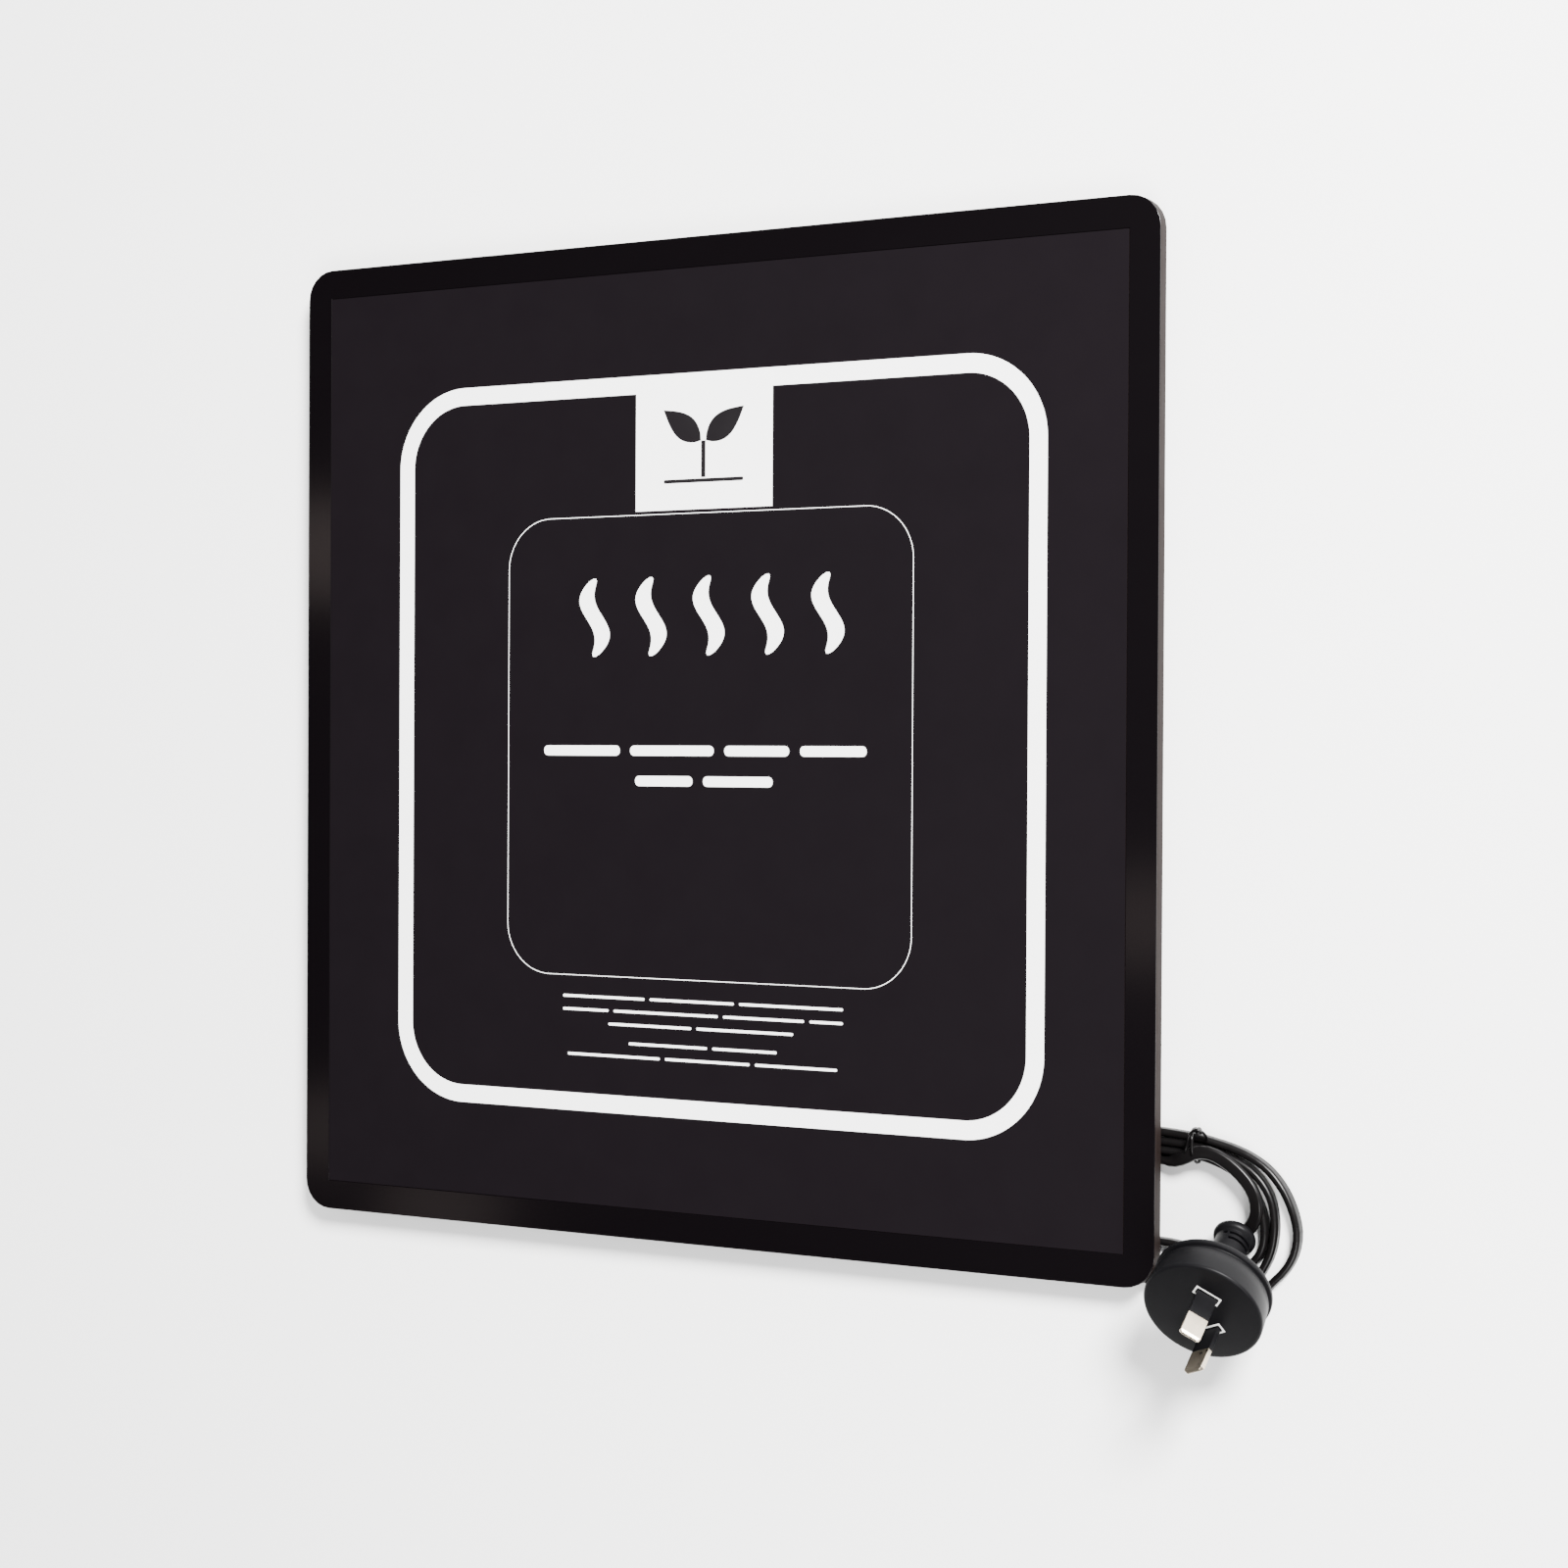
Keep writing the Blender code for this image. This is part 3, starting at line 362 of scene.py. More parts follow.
def height_mask(material, where, low, high):
    """Nought below one height, one above another."""
    split = material.node_tree.nodes.new("ShaderNodeSeparateXYZ")
    material.node_tree.links.new(where, split.inputs[0])
    return map_value(material, split.outputs["Z"], 0.0, 1.0, low, high)


def glossed(name, top, side, edge_z):
    """Gloss lacquer on the top of the panel only; its side keeps the tray's satin colour."""
    found = bpy.data.materials.get(name)
    if found:
        return found
    material, where = new_finish(name, specular=0.04)
    links = material.node_tree.links
    shader = shader_of(material)
    above = height_mask(material, where, edge_z - 0.3 * MM, edge_z - 0.12 * MM)
    links.new(tone_mix(material, above, side, top), shader.inputs["Base Color"])
    wiped = place_group(material, handling_group(), where, scale=16.0, amount=0.03)
    add = material.node_tree.nodes.new("ShaderNodeMath")
    add.inputs[1].default_value = 0.55
    links.new(wiped.outputs["Mask"], add.inputs[0])
    links.new(add.outputs[0], shader.inputs["Roughness"])
    coat = material.node_tree.nodes.new("ShaderNodeMath")
    coat.operation = "MULTIPLY"
    coat.inputs[1].default_value = 0.62
    links.new(above, coat.inputs[0])
    links.new(coat.outputs[0], shader.inputs["Coat Weight"])
    shader.inputs["Coat Roughness"].default_value = 0.12
    return material


def drawn_metal(name, colour, roughness, direction, scale=700.0, height=0.01):
    """Metal with fine lines along one direction."""
    found = bpy.data.materials.get(name)
    if found:
        return found
    material, where = new_finish(name, metallic=1.0)
    links = material.node_tree.links
    shader = shader_of(material)
    stretch = material.node_tree.nodes.new("ShaderNodeMapping")
    stretch.inputs["Scale"].default_value = direction
    links.new(where, stretch.inputs["Vector"])
    grain = place_group(material, grain_group(), stretch.outputs["Vector"], scale=scale)
    ground = tone_mix(material, grain.outputs["Tone"], lighter(colour, 0.9), lighter(colour, 1.06))
    links.new(ground, shader.inputs["Base Color"])
    rough = map_value(material, grain.outputs["Height"], roughness - 0.06, roughness + 0.08)
    links.new(rough, shader.inputs["Roughness"])
    bump(material, grain.outputs["Height"], height * MM)
    return material


def woven(name, colour, thread):
    """Cloth of glass thread, over and under."""
    found = bpy.data.materials.get(name)
    if found:
        return found
    material, where = new_finish(name)
    nodes, links = material.node_tree.nodes, material.node_tree.links
    shader = shader_of(material)
    waves = []
    for direction in ("X", "Y"):
        wave = nodes.new("ShaderNodeTexWave")
        wave.bands_direction = direction
        wave.inputs["Scale"].default_value = 1.0 / (thread * 20.0)
        wave.inputs["Distortion"].default_value = 0.4
        links.new(where, wave.inputs["Vector"])
        waves.append(wave.outputs["Fac"])
    both = nodes.new("ShaderNodeMath")
    both.operation = "MULTIPLY"
    links.new(waves[0], both.inputs[0])
    links.new(waves[1], both.inputs[1])
    thread_tone = tone_mix(material, both.outputs[0], lighter(colour, 0.72), colour)
    links.new(thread_tone, shader.inputs["Base Color"])
    links.new(map_value(material, both.outputs[0], 0.85, 0.7, 0.0, 1.0), shader.inputs["Roughness"])
    bump(material, both.outputs[0], 0.08 * MM)
    return material


def sheath(name, colour):
    """Soft extruded PVC: long faint drag lines, and a satin skin."""
    found = bpy.data.materials.get(name)
    if found:
        return found
    material, where = new_finish(name, specular=0.15)
    links = material.node_tree.links
    shader = shader_of(material)
    grain = place_group(material, grain_group(), where, scale=1400.0)
    wiped = place_group(material, handling_group(), where, scale=60.0, amount=0.10)
    ground = tone_mix(material, grain.outputs["Tone"], lighter(colour, 0.85), lighter(colour, 1.2))
    links.new(ground, shader.inputs["Base Color"])
    rough = map_value(material, grain.outputs["Tone"], 0.25, 0.33)
    add = material.node_tree.nodes.new("ShaderNodeMath")
    links.new(rough, add.inputs[0])
    links.new(wiped.outputs["Mask"], add.inputs[1])
    links.new(add.outputs[0], shader.inputs["Roughness"])
    bump(material, grain.outputs["Height"], 0.012 * MM)
    return material


def finishes():
    """Every finish by its slot's name."""
    picked = bpy.context.scene.heat_mat_finishes
    return {
        "gloss_black": glossed("border_gloss", picked.border[:], picked.tray[:], FACE_Z),
        "face_print": moulded("face_matt", picked.face[:], 0.65, 1500.0, 0.01, 0.04, 0.02, specular=0.035),
        "ink": moulded("ink_white", picked.ink[:], 0.6, 1200.0, 0.004, 0.012, specular=0.2),
        "ink_black": moulded("ink_black", picked.face[:], 0.5, 1200.0, 0.006, 0.05, specular=0.3),
        "tray_black": moulded("tray_satin", picked.tray[:], 0.55, 800.0, 0.02, 0.12, 0.04, specular=0.04),
        "rubber": moulded("foot_rubber", picked.rubber[:], 0.72, 1100.0, 0.04, 0.2),
        "cord_black": sheath("lead_sheath", picked.lead[:]),
        "plug_black": moulded(
            "plug_moulding", picked.plug[:], 0.44, 1700.0, 0.015, 0.12, 0.04, specular=0.09,
        ),
        "seat_grey": moulded("seat_moulding", picked.seat[:], 0.5, 1200.0, 0.01, 0.06),
        "nickel": drawn_metal("pin_nickel", picked.nickel[:], 0.3, (1.0, 1.0, 0.3), 700.0, 0.0015),
        "screw_steel": drawn_metal("screw_zinc", (0.62, 0.62, 0.63), 0.32, (1.0, 0.2, 1.0)),
        "aluminium": drawn_metal("spreader_foil", (0.78, 0.79, 0.8), 0.34, (1.0, 0.04, 1.0), 300.0, 0.01),
        "resistance_wire": drawn_metal("element_wire", (0.4, 0.38, 0.36), 0.35, (1.0, 1.0, 1.0)),
        "copper": drawn_metal("crimp_tin", (0.72, 0.62, 0.5), 0.3, (0.1, 1.0, 1.0)),
        "glass_cloth": woven("carrier_cloth", (0.78, 0.76, 0.68), 0.7 * MM),
        "foam": moulded("pad_foam", (0.52, 0.52, 0.54), 0.85, 600.0, 0.3, 0.2),
        "live_brown": moulded("live_sheath", (0.19, 0.075, 0.03), 0.4, 1200.0, 0.01, 0.1),
        "neutral_blue": moulded("neutral_sheath", (0.03, 0.1, 0.38), 0.4, 1200.0, 0.01, 0.1),
        "fuse_cream": moulded("cutout_case", (0.78, 0.72, 0.58), 0.45, 900.0, 0.01, 0.08),
    }


# ---------------------------------------------------------------- making pieces


def settle(obj, finish, replaced=()):
    """Gives a finished piece its material and ties it to the mat."""
    obj.data.materials.clear()
    obj.data.materials.append(finishes()[finish])
    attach(obj, "root")
    if replaced:
        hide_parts(*replaced)
    return obj


def piece(name, shape, finish, replaced=(), smooth=None):
    """A new object from a bmesh. smooth is the angle, in degrees, past which an edge stays sharp."""
    bmesh.ops.remove_doubles(shape, verts=shape.verts, dist=1e-7)
    bmesh.ops.recalc_face_normals(shape, faces=shape.faces)
    mesh = bpy.data.meshes.new(name)
    shape.to_mesh(mesh)
    shape.free()
    if smooth:
        mesh.shade_smooth()
        mesh.set_sharp_from_angle(angle=math.radians(smooth))
    obj = bpy.data.objects.new(name, mesh)
    bpy.context.scene.collection.objects.link(obj)
    return settle(obj, finish, replaced)


def soften(obj, width, segments=3, angle=35):
    """Rounded edges, for a moulded or pressed piece."""
    rounding = obj.modifiers.new("edges", "BEVEL")
    rounding.width = width
    rounding.segments = segments
    rounding.limit_method = "ANGLE"
    rounding.angle_limit = math.radians(angle)
    rounding.harden_normals = True
    rounding.use_clamp_overlap = True
    return obj


def packed_copy(name, node, finish, width, segments=3):
    """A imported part's own shape with its edges rounded."""
    shape = bmesh.new()
    shape.from_mesh(frame["nodes"][node].data)
    bmesh.ops.remove_doubles(shape, verts=shape.verts, dist=2e-7)
    bmesh.ops.dissolve_limit(
        shape, angle_limit=math.radians(1), use_dissolve_boundaries=False, verts=shape.verts,
        edges=shape.edges,
    )
    obj = piece(name, shape, finish, [node], smooth=35)
    return soften(obj, width, segments)


def plate(width, height, radius, low, high, centre=(0, 0), band=0.0, steps=10):
    """A flat plate with round corners, or only its outer band."""
    shape = bmesh.new()
    bmesh.ops.create_grid(shape, x_segments=1, y_segments=1, size=0.5)
    bmesh.ops.scale(shape, vec=(width, height, 1), verts=shape.verts)
    if radius:
        bmesh.ops.bevel(
            shape, geom=shape.verts[:], offset=radius, offset_type="OFFSET", segments=steps, profile=0.5,
            affect="VERTICES", material=-1,
        )
    if band:
        inner = shape.faces[:]
        bmesh.ops.inset_region(shape, faces=inner, thickness=band, use_even_offset=True, use_boundary=True)
        bmesh.ops.delete(shape, geom=inner, context="FACES_ONLY")
    return raise_flat(shape, low, high, centre)


def raise_flat(shape, low, high, centre=(0, 0)):
    """Gives flat faces their thickness, between two heights."""
    bmesh.ops.translate(shape, verts=shape.verts, vec=(centre[0], centre[1], low))
    lifted = bmesh.ops.extrude_face_region(shape, geom=shape.faces[:], use_keep_orig=True)
    upper = [item for item in lifted["geom"] if isinstance(item, bmesh.types.BMVert)]
    bmesh.ops.translate(shape, verts=upper, vec=(0, 0, high - low))
    return shape


def join_into(shape, other):
    """Adds one bmesh's shape to another."""
    mesh = bpy.data.meshes.new("part_of_a_shape")
    other.to_mesh(mesh)
    other.free()
    shape.from_mesh(mesh)
    bpy.data.meshes.remove(mesh)
    return shape


def face_point(across, up):
    """A place on the mat's top, from shares of its width and height."""
    return ((across - 0.5) * MAT_WIDTH, (up - 0.5) * MAT_HEIGHT)


def flat_curve_shape(outlines, low, high):
    """A flat solid from closed outlines; one inside another makes a hole."""
    curve = bpy.data.curves.new("outlines", "CURVE")
    curve.dimensions = "2D"
    curve.fill_mode = "BOTH"
    for outline in outlines:
        spline = curve.splines.new("POLY")
        spline.points.add(len(outline) - 1)
        for item, (x, y) in zip(spline.points, outline):
            item.co = (x, y, 0, 1)
        spline.use_cyclic_u = True
    return raised_mesh(bpy.data.objects.new("outlines", curve), low, high)


def raised_mesh(flat, low, high):
    """The flat shape of a curve as a bmesh with thickness."""
    bpy.context.scene.collection.objects.link(flat)
    bpy.context.view_layer.update()
    graph = bpy.context.evaluated_depsgraph_get()
    mesh = bpy.data.meshes.new_from_object(flat.evaluated_get(graph))
    shape = bmesh.new()
    shape.from_mesh(mesh)
    bpy.data.meshes.remove(mesh)
    data = flat.data
    bpy.data.objects.remove(flat)
    bpy.data.curves.remove(data)
    bmesh.ops.remove_doubles(shape, verts=shape.verts, dist=1e-6)
    return raise_flat(shape, low, high)


def smooth_route(route, spacing):
    """Points about this far apart on a smooth curve through (x, y, z, turn) points."""
    given = [Vector(point) for point in route]
    ends = [2 * given[0] - given[1]] + given + [2 * given[-1] - given[-2]]
    fine = []
    for before, start, end, after in zip(ends, ends[1:], ends[2:], ends[3:]):
        for step in range(16):
            t = step / 16
            fine.append(0.5 * (
                2 * start + (end - before) * t
                + (2 * before - 5 * start + 4 * end - after) * t**2
                + (3 * start - before - 3 * end + after) * t**3
            ))
    fine.append(given[-1])
    taken = [fine[0]]
    for point in fine:
        if (point.xyz - taken[-1].xyz).length >= spacing:
            taken.append(point)
    return taken


def open_tube(name, points, radius):
    """A curve with a round section through points in metres."""
    curve = bpy.data.curves.new(name, "CURVE")
    curve.dimensions = "3D"
    curve.bevel_depth = radius
    curve.bevel_resolution = 3
    curve.use_fill_caps = True
    spline = curve.splines.new("POLY")
    spline.points.add(len(points) - 1)
    for item, point in zip(spline.points, points):
        item.co = (*point[:3], 1.0)
    spline.use_smooth = True
    obj = bpy.data.objects.new(name, curve)
    bpy.context.scene.collection.objects.link(obj)
    return obj


# ---------------------------------------------------------------- stage

# The camera's place, and which way its right side and its back point
CAMERA_PLACE = (0.47638, -0.00447, 0.81998)
CAMERA_RIGHT = (0.8768, 0.0051, -0.4809)
CAMERA_BACK = (0.4808, 0.0100, 0.8768)

# Small warm lights that show as soft glints in the gloss border: place, aim, size and watts
GLINTS = (
    ((-0.704, 0.130, 0.719), (-0.153, 0.068, 0.010), 0.07, 0.036),
    ((-0.702, -0.252, 0.715), (-0.154, -0.137, 0.010), 0.055, 0.014),
    ((-0.618, -0.303, 0.734), (-0.102, -0.162, 0.010), 0.08, 0.026),
    ((-0.175, -0.105, 0.845), (0.156, -0.054, 0.010), 0.06, 0.02),
)


class HEATMAT_OT_stage(bpy.types.Operator):
    """Sets the floor, the lights and the camera"""

    bl_idname = "heatmat.stage"
    bl_label = "Stage"

    def execute(self, context):
        picked = context.scene.heat_mat_studio
        self.floor(picked)
        self.sky(context.scene, picked)
        self.light("key_light", (1.15, 0.95, 1.3), 0.6, picked.key, (1.0, 0.995, 0.985))
        self.light("fill_light", (0.95, -0.95, 1.5), 1.0, picked.fill, (1.0, 1.0, 1.0))
        for index, (place, aim, size, watts) in enumerate(GLINTS):
            self.light(f"glint_{index + 1}", place, size, picked.glint * watts, (1.0, 0.82, 0.76), aim)
        self.camera(context.scene)
        return {"FINISHED"}

    def floor(self, picked):
        """A wide pale plane just under the feet."""
        shape = bmesh.new()
        bmesh.ops.create_grid(shape, x_segments=1, y_segments=1, size=5.0)
        bmesh.ops.translate(shape, verts=shape.verts, vec=(0, 0, -0.05 * MM))
        mesh = bpy.data.meshes.new("floor")
        shape.to_mesh(mesh)
        shape.free()
        floor = bpy.data.objects.new("floor", mesh)
        bpy.context.scene.collection.objects.link(floor)
        paint = moulded("floor_paint", picked.floor[:], 0.85, 300.0, 0.01, 0.005, specular=0.1)
        mesh.materials.append(paint)

    def sky(self, scene, picked):
        """Even white light from all round, much dimmer in mirrored light, and white to the camera."""
        world = bpy.data.worlds.new("studio")
        world.use_nodes = True
        scene.world = world
        nodes, links = world.node_tree.nodes, world.node_tree.links
        background = nodes["Background"]
        background.inputs["Color"].default_value = (1, 1, 1, 1)
        path = nodes.new("ShaderNodeLightPath")
        seen = nodes.new("ShaderNodeMath")
        seen.operation = "MULTIPLY_ADD"
        seen.inputs[1].default_value = 1.0 - picked.sky
        seen.inputs[2].default_value = picked.sky
        links.new(path.outputs["Is Camera Ray"], seen.inputs[0])
        dark = nodes.new("ShaderNodeMath")
        dark.operation = "MULTIPLY_ADD"
        dark.inputs[1].default_value = -0.92
        dark.inputs[2].default_value = 1.0
        links.new(path.outputs["Is Glossy Ray"], dark.inputs[0])
        both = nodes.new("ShaderNodeMath")
        both.operation = "MULTIPLY"
        links.new(seen.outputs[0], both.inputs[0])
        links.new(dark.outputs[0], both.inputs[1])
        links.new(both.outputs[0], background.inputs["Strength"])

    def light(self, name, place, size, power, colour, target=(0.02, -0.02, 0.0)):
        """A round soft light that points at a target."""
        lamp = bpy.data.lights.new(name, "AREA")
        lamp.shape = "DISK"
        lamp.size = size
        lamp.energy = power
        lamp.color = colour
        obj = bpy.data.objects.new(name, lamp)
        obj.location = place
        aim = Vector(target) - Vector(place)
        obj.rotation_euler = aim.to_track_quat("-Z", "Y").to_euler()
        bpy.context.scene.collection.objects.link(obj)

    def camera(self, scene):
        data = bpy.data.cameras.new("camera")
        data.lens = 65.95
        data.sensor_width = 36.0
        data.clip_start = 0.01
        obj = bpy.data.objects.new("camera", data)
        right = Vector(CAMERA_RIGHT)
        back = Vector(CAMERA_BACK)
        up = back.cross(right)
        turn = Matrix((right, up, back)).transposed().to_4x4()
        obj.matrix_world = Matrix.Translation(CAMERA_PLACE) @ turn
        scene.collection.objects.link(obj)
        scene.camera = obj


# ---------------------------------------------------------------- lead, tie and plug


def left_turn(place, x):
    """The far end of one of the tied turns, from its lower run round to its upper one."""
    upper, lower = place
    radius = (upper - lower) / 2
    middle = (upper + lower) / 2
    points = [(x + reach, lower, LYING, 0) for reach in (90, 50, 20)]
    for step in range(TURN_STEPS + 1):
        angle = -math.pi / 2 - math.pi * step / TURN_STEPS
        points.append((x + radius * math.cos(angle), middle + radius * math.sin(angle), LYING, 0))
    return points + [(x + reach, upper, LYING, 0) for reach in (20, 50, 90)]


def lead_route(turn_x):
    """The whole route from the strain relief to the plug's collar."""
    turns = [left_turn(place, turn_x / MM) for place in LEFT_TURNS]
    route = LEAD_START + FIRST_LOOP + turns[0] + SECOND_LOOP + turns[1] + THIRD_LOOP
    return route + turns[2] + PLUG_STRAND


class HEATMAT_OT_lead(bpy.types.Operator):
    """Lays the flat twin lead in its tied turns"""

    bl_idname = "heatmat.lead"
    bl_label = "Lead"

    def execute(self, context):
        picked = context.scene.heat_mat_lead
        section = self.section(picked)
        points = smooth_route(lead_route(picked.turn_x), ROUTE_SPACING)
        curve = bpy.data.curves.new("flat_lead", "CURVE")
        curve.dimensions = "3D"
        curve.twist_mode = "Z_UP"
        curve.bevel_mode = "OBJECT"
        curve.bevel_object = section
        curve.use_fill_caps = True
        spline = curve.splines.new("POLY")
        spline.points.add(len(points) - 1)
        for item, point in zip(spline.points, points):
            item.co = (*(point.xyz * MM), 1.0)
            item.tilt = math.radians(point.w)
        spline.use_smooth = True
        lead = bpy.data.objects.new("flat_lead", curve)
        context.scene.collection.objects.link(lead)
        settle(lead, "cord_black", ["cord_lead", "cord_hank", "cord_tail"])
        return {"FINISHED"}

    def section(self, picked):
        """The figure-of-eight section: two cores side by side."""
        curve = bpy.data.curves.new("lead_section", "CURVE")
        curve.dimensions = "2D"
        half = picked.thickness / 2
        offset = picked.width / 2 - half
        waist = half - picked.groove
        steps = 8
        sweep = 156
        points = []
        for side in (1, -1):
            for step in range(steps + 1):
                angle = math.radians(side * 90 - sweep / 2 + sweep * step / steps)
                points.append((half * math.cos(angle), side * offset + half * math.sin(angle)))
            points.append((-side * waist, 0))
        spline = curve.splines.new("POLY")
        spline.points.add(len(points) - 1)
        for item, (x, y) in zip(spline.points, points):
            item.co = (x, y, 0, 1)
        spline.use_cyclic_u = True
        spline.use_smooth = True
        obj = bpy.data.objects.new("lead_section", curve)
        bpy.context.scene.collection.objects.link(obj)
        obj.hide_render = True
        obj.hide_viewport = True
        return obj


class HEATMAT_OT_tie(bpy.types.Operator):
    """Winds the twist tie round the strands and curls its ends"""

    bl_idname = "heatmat.tie"
    bl_label = "Tie"

    def execute(self, context):
        radius = context.scene.heat_mat_lead.tie_radius
        winding = [
            (174.8, -118.8, 5.6), (174.9, -117.6, 6.8), (174.2, -116.5, 7.8), (173.0, -116.0, 8.1),
            (171.9, -116.3, 7.7), (171.2, -116.5, 6.4), (171.0, -116.3, 4.4), (171.0, -116.2, 2.2),
            (171.0, -116.8, 0.75), (171.0, -119.0, 0.42), (171.0, -123.6, 0.42), (171.0, -125.6, 0.7),
            (171.0, -126.3, 2.2), (171.0, -126.1, 4.4), (171.0, -124.9, 5.9), (171.0, -123.3, 7.6),
            (171.0, -121.0, 8.0), (170.9, -118.6, 8.0), (170.6, -117.2, 7.0), (170.2, -116.3, 5.0),
            (170.0, -116.2, 2.4), (169.9, -116.8, 0.75), (169.7, -119.0, 0.42), (168.2, -123.4, 0.42),
            (167.6, -125.2, 0.7), (167.3, -125.9, 2.2), (167.4, -125.6, 4.2), (167.9, -124.4, 5.6),
            (168.6, -122.8, 7.3), (169.3, -120.8, 7.7), (170.0, -118.6, 8.6), (170.6, -117.2, 8.7),
            (171.6, -116.2, 8.9), (172.9, -115.7, 9.0), (173.9, -116.3, 8.6),
        ]
        route = smooth_route([(*point, 0) for point in winding], 0.45)
        tie = open_tube("twist_tie", [point.xyz * MM for point in route], radius)
        settle(tie, "cord_black", ["cord_tie"])
        return {"FINISHED"}


def plug_place(picked):
    """The plug's own frame: +Z runs from its face back to its collar."""
    sine = math.sin(picked.elevation)
    cosine = math.cos(picked.elevation)
    low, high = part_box("plug_body")
    face_y = COLLAR_Y - picked.length * cosine
    face_z = COLLAR_RADIUS * cosine + COLLAR_GAP + picked.length * sine
    x = (low.x + high.x) / 2
    return Matrix(((1, 0, 0, x), (0, -sine, cosine, face_y), (0, -cosine, -sine, face_z), (0, 0, 0, 1)))


# The plug's side, from the middle of its face to the hole in its collar: radius and distance from the face
FACE_AND_SKIRT = [
    (0, 0), (8, 0), (17.0, 0), (17.42, 0.06), (17.76, 0.26), (17.95, 0.62), (17.98, 1.0), (17.7, 5.0),
    (17.3, 8.9),
]
FLANGE = [
    (17.0, 9.35), (16.6, 9.5), (16.55, 9.9), (16.75, 10.15), (17.45, 10.25), (17.75, 10.45), (17.85, 10.9),
    (17.8, 11.5), (17.5, 11.95), (17.0, 12.15),
]
SHOULDER_AND_NECK = [
    (13.5, 12.5), (9.6, 13.2), (7.4, 14.3), (6.3, 16.2), (5.75, 19.0), (5.45, 22.5), (5.3, 26.0),
    (5.25, 30.4),
]
COLLAR = [
    (5.5, 30.7), (5.95, 30.95), (6.35, 31.45), (6.5, 32.2), (6.35, 33.0), (5.95, 33.55), (5.4, 33.9),
    (4.6, 34.0), (3.2, 34.0), (2.8, 33.8), (2.6, 33.2), (2.55, 29.5), (0, 29.5),
]
PLUG_PROFILE = FACE_AND_SKIRT + FLANGE + SHOULDER_AND_NECK + COLLAR


class HEATMAT_OT_plug(bpy.types.Operator):
    """Turns the plug's body, and cuts its neck slots and the openings for its pale moulding"""

    bl_idname = "heatmat.plug"
    bl_label = "Plug body"

    def execute(self, context):
        picked = context.scene.heat_mat_plug
        place = plug_place(picked)
        shape = bmesh.new()
        verts = [shape.verts.new((radius * MM, 0, back * MM)) for radius, back in PLUG_PROFILE]
        edges = [shape.edges.new(pair) for pair in zip(verts, verts[1:])]
        bmesh.ops.spin(
            shape, geom=verts + edges, cent=(0, 0, 0), axis=(0, 0, 1), dvec=(0, 0, 0), angle=2 * math.pi,
            steps=picked.steps, use_merge=True,
        )
        bmesh.ops.remove_doubles(shape, verts=shape.verts, dist=1e-6)
        body = piece("plug_shell", shape, "plug_black", replaced=["plug_body"], smooth=32)
        cutters = self.neck_slots() + self.seat_slots(place)
        self.cut_all(body, cutters)
        body.data.transform(place)
        body.data.shade_smooth()
        body.data.set_sharp_from_angle(angle=math.radians(32))
        return {"FINISHED"}

    def neck_slots(self):
        """Curved slots in two rows on both sides of the neck, and a small one beside them."""
        made = []
        for middle in (-38, 142):
            for height, reach in ((29.1, 96), (27.0, 92)):
                made.append(self.arc_slot(height, 0.5, middle, reach))
            made.append(self.arc_slot(23.6, 0.62, middle + 52, 16))
            made.append(self.arc_slot(29.2, 0.55, middle - 62, 15))
        return made

    def arc_slot(self, height, half, middle, reach):
        """A slot round part of the neck; middle and reach are in degrees."""
        shape = bmesh.new()
        corners = [(4.35, height - half), (6.6, height - half), (6.6, height + half), (4.35, height + half)]
        verts = [shape.verts.new((x * MM, 0, z * MM)) for x, z in corners]
        face = shape.faces.new(verts)
        start = Matrix.Rotation(math.radians(middle - reach / 2), 4, "Z")
        bmesh.ops.transform(shape, matrix=start, verts=shape.verts)
        bmesh.ops.spin(
            shape, geom=[face, *face.edges, *face.verts], cent=(0, 0, 0), axis=(0, 0, 1), dvec=(0, 0, 0),
            angle=math.radians(reach), steps=max(3, reach // 5), use_merge=False,
        )
        return self.cutter(shape)

    def seat_slots(self, place):
        """Openings that the pale moulding's two seats come up through."""
        made = []
        for turn, centre in pin_seats(place):
            shape = plate(8.35 * MM, 3.6 * MM, 0, -0.5 * MM, 0.45 * MM)
            matrix = Matrix.Translation((*centre, 0)) @ Matrix.Rotation(turn, 4, "Z")
            bmesh.ops.transform(shape, matrix=matrix, verts=shape.verts)
            made.append(self.cutter(shape))
        return made

    def cutter(self, shape):
        """A solid to cut with."""
        bmesh.ops.recalc_face_normals(shape, faces=shape.faces)
        mesh = bpy.data.meshes.new("cutter")
        shape.to_mesh(mesh)
        shape.free()
        obj = bpy.data.objects.new("cutter", mesh)
        bpy.context.scene.collection.objects.link(obj)
        return obj

    def cut_all(self, body, cutters):
        """Cuts every solid out of the body, then clears them away."""
        for tool in cutters:
            modifier = body.modifiers.new("cut", "BOOLEAN")
            modifier.operation = "DIFFERENCE"
            modifier.object = tool
            modifier.solver = "EXACT"
        bpy.context.view_layer.update()
        graph = bpy.context.evaluated_depsgraph_get()
        finished = bpy.data.meshes.new_from_object(body.evaluated_get(graph))
        body.modifiers.clear()
        old = body.data
        body.data = finished
        bpy.data.meshes.remove(old)
        finished.name = "plug_shell"
        for tool in cutters:
            mesh = tool.data
            bpy.data.objects.remove(tool)
            bpy.data.meshes.remove(mesh)


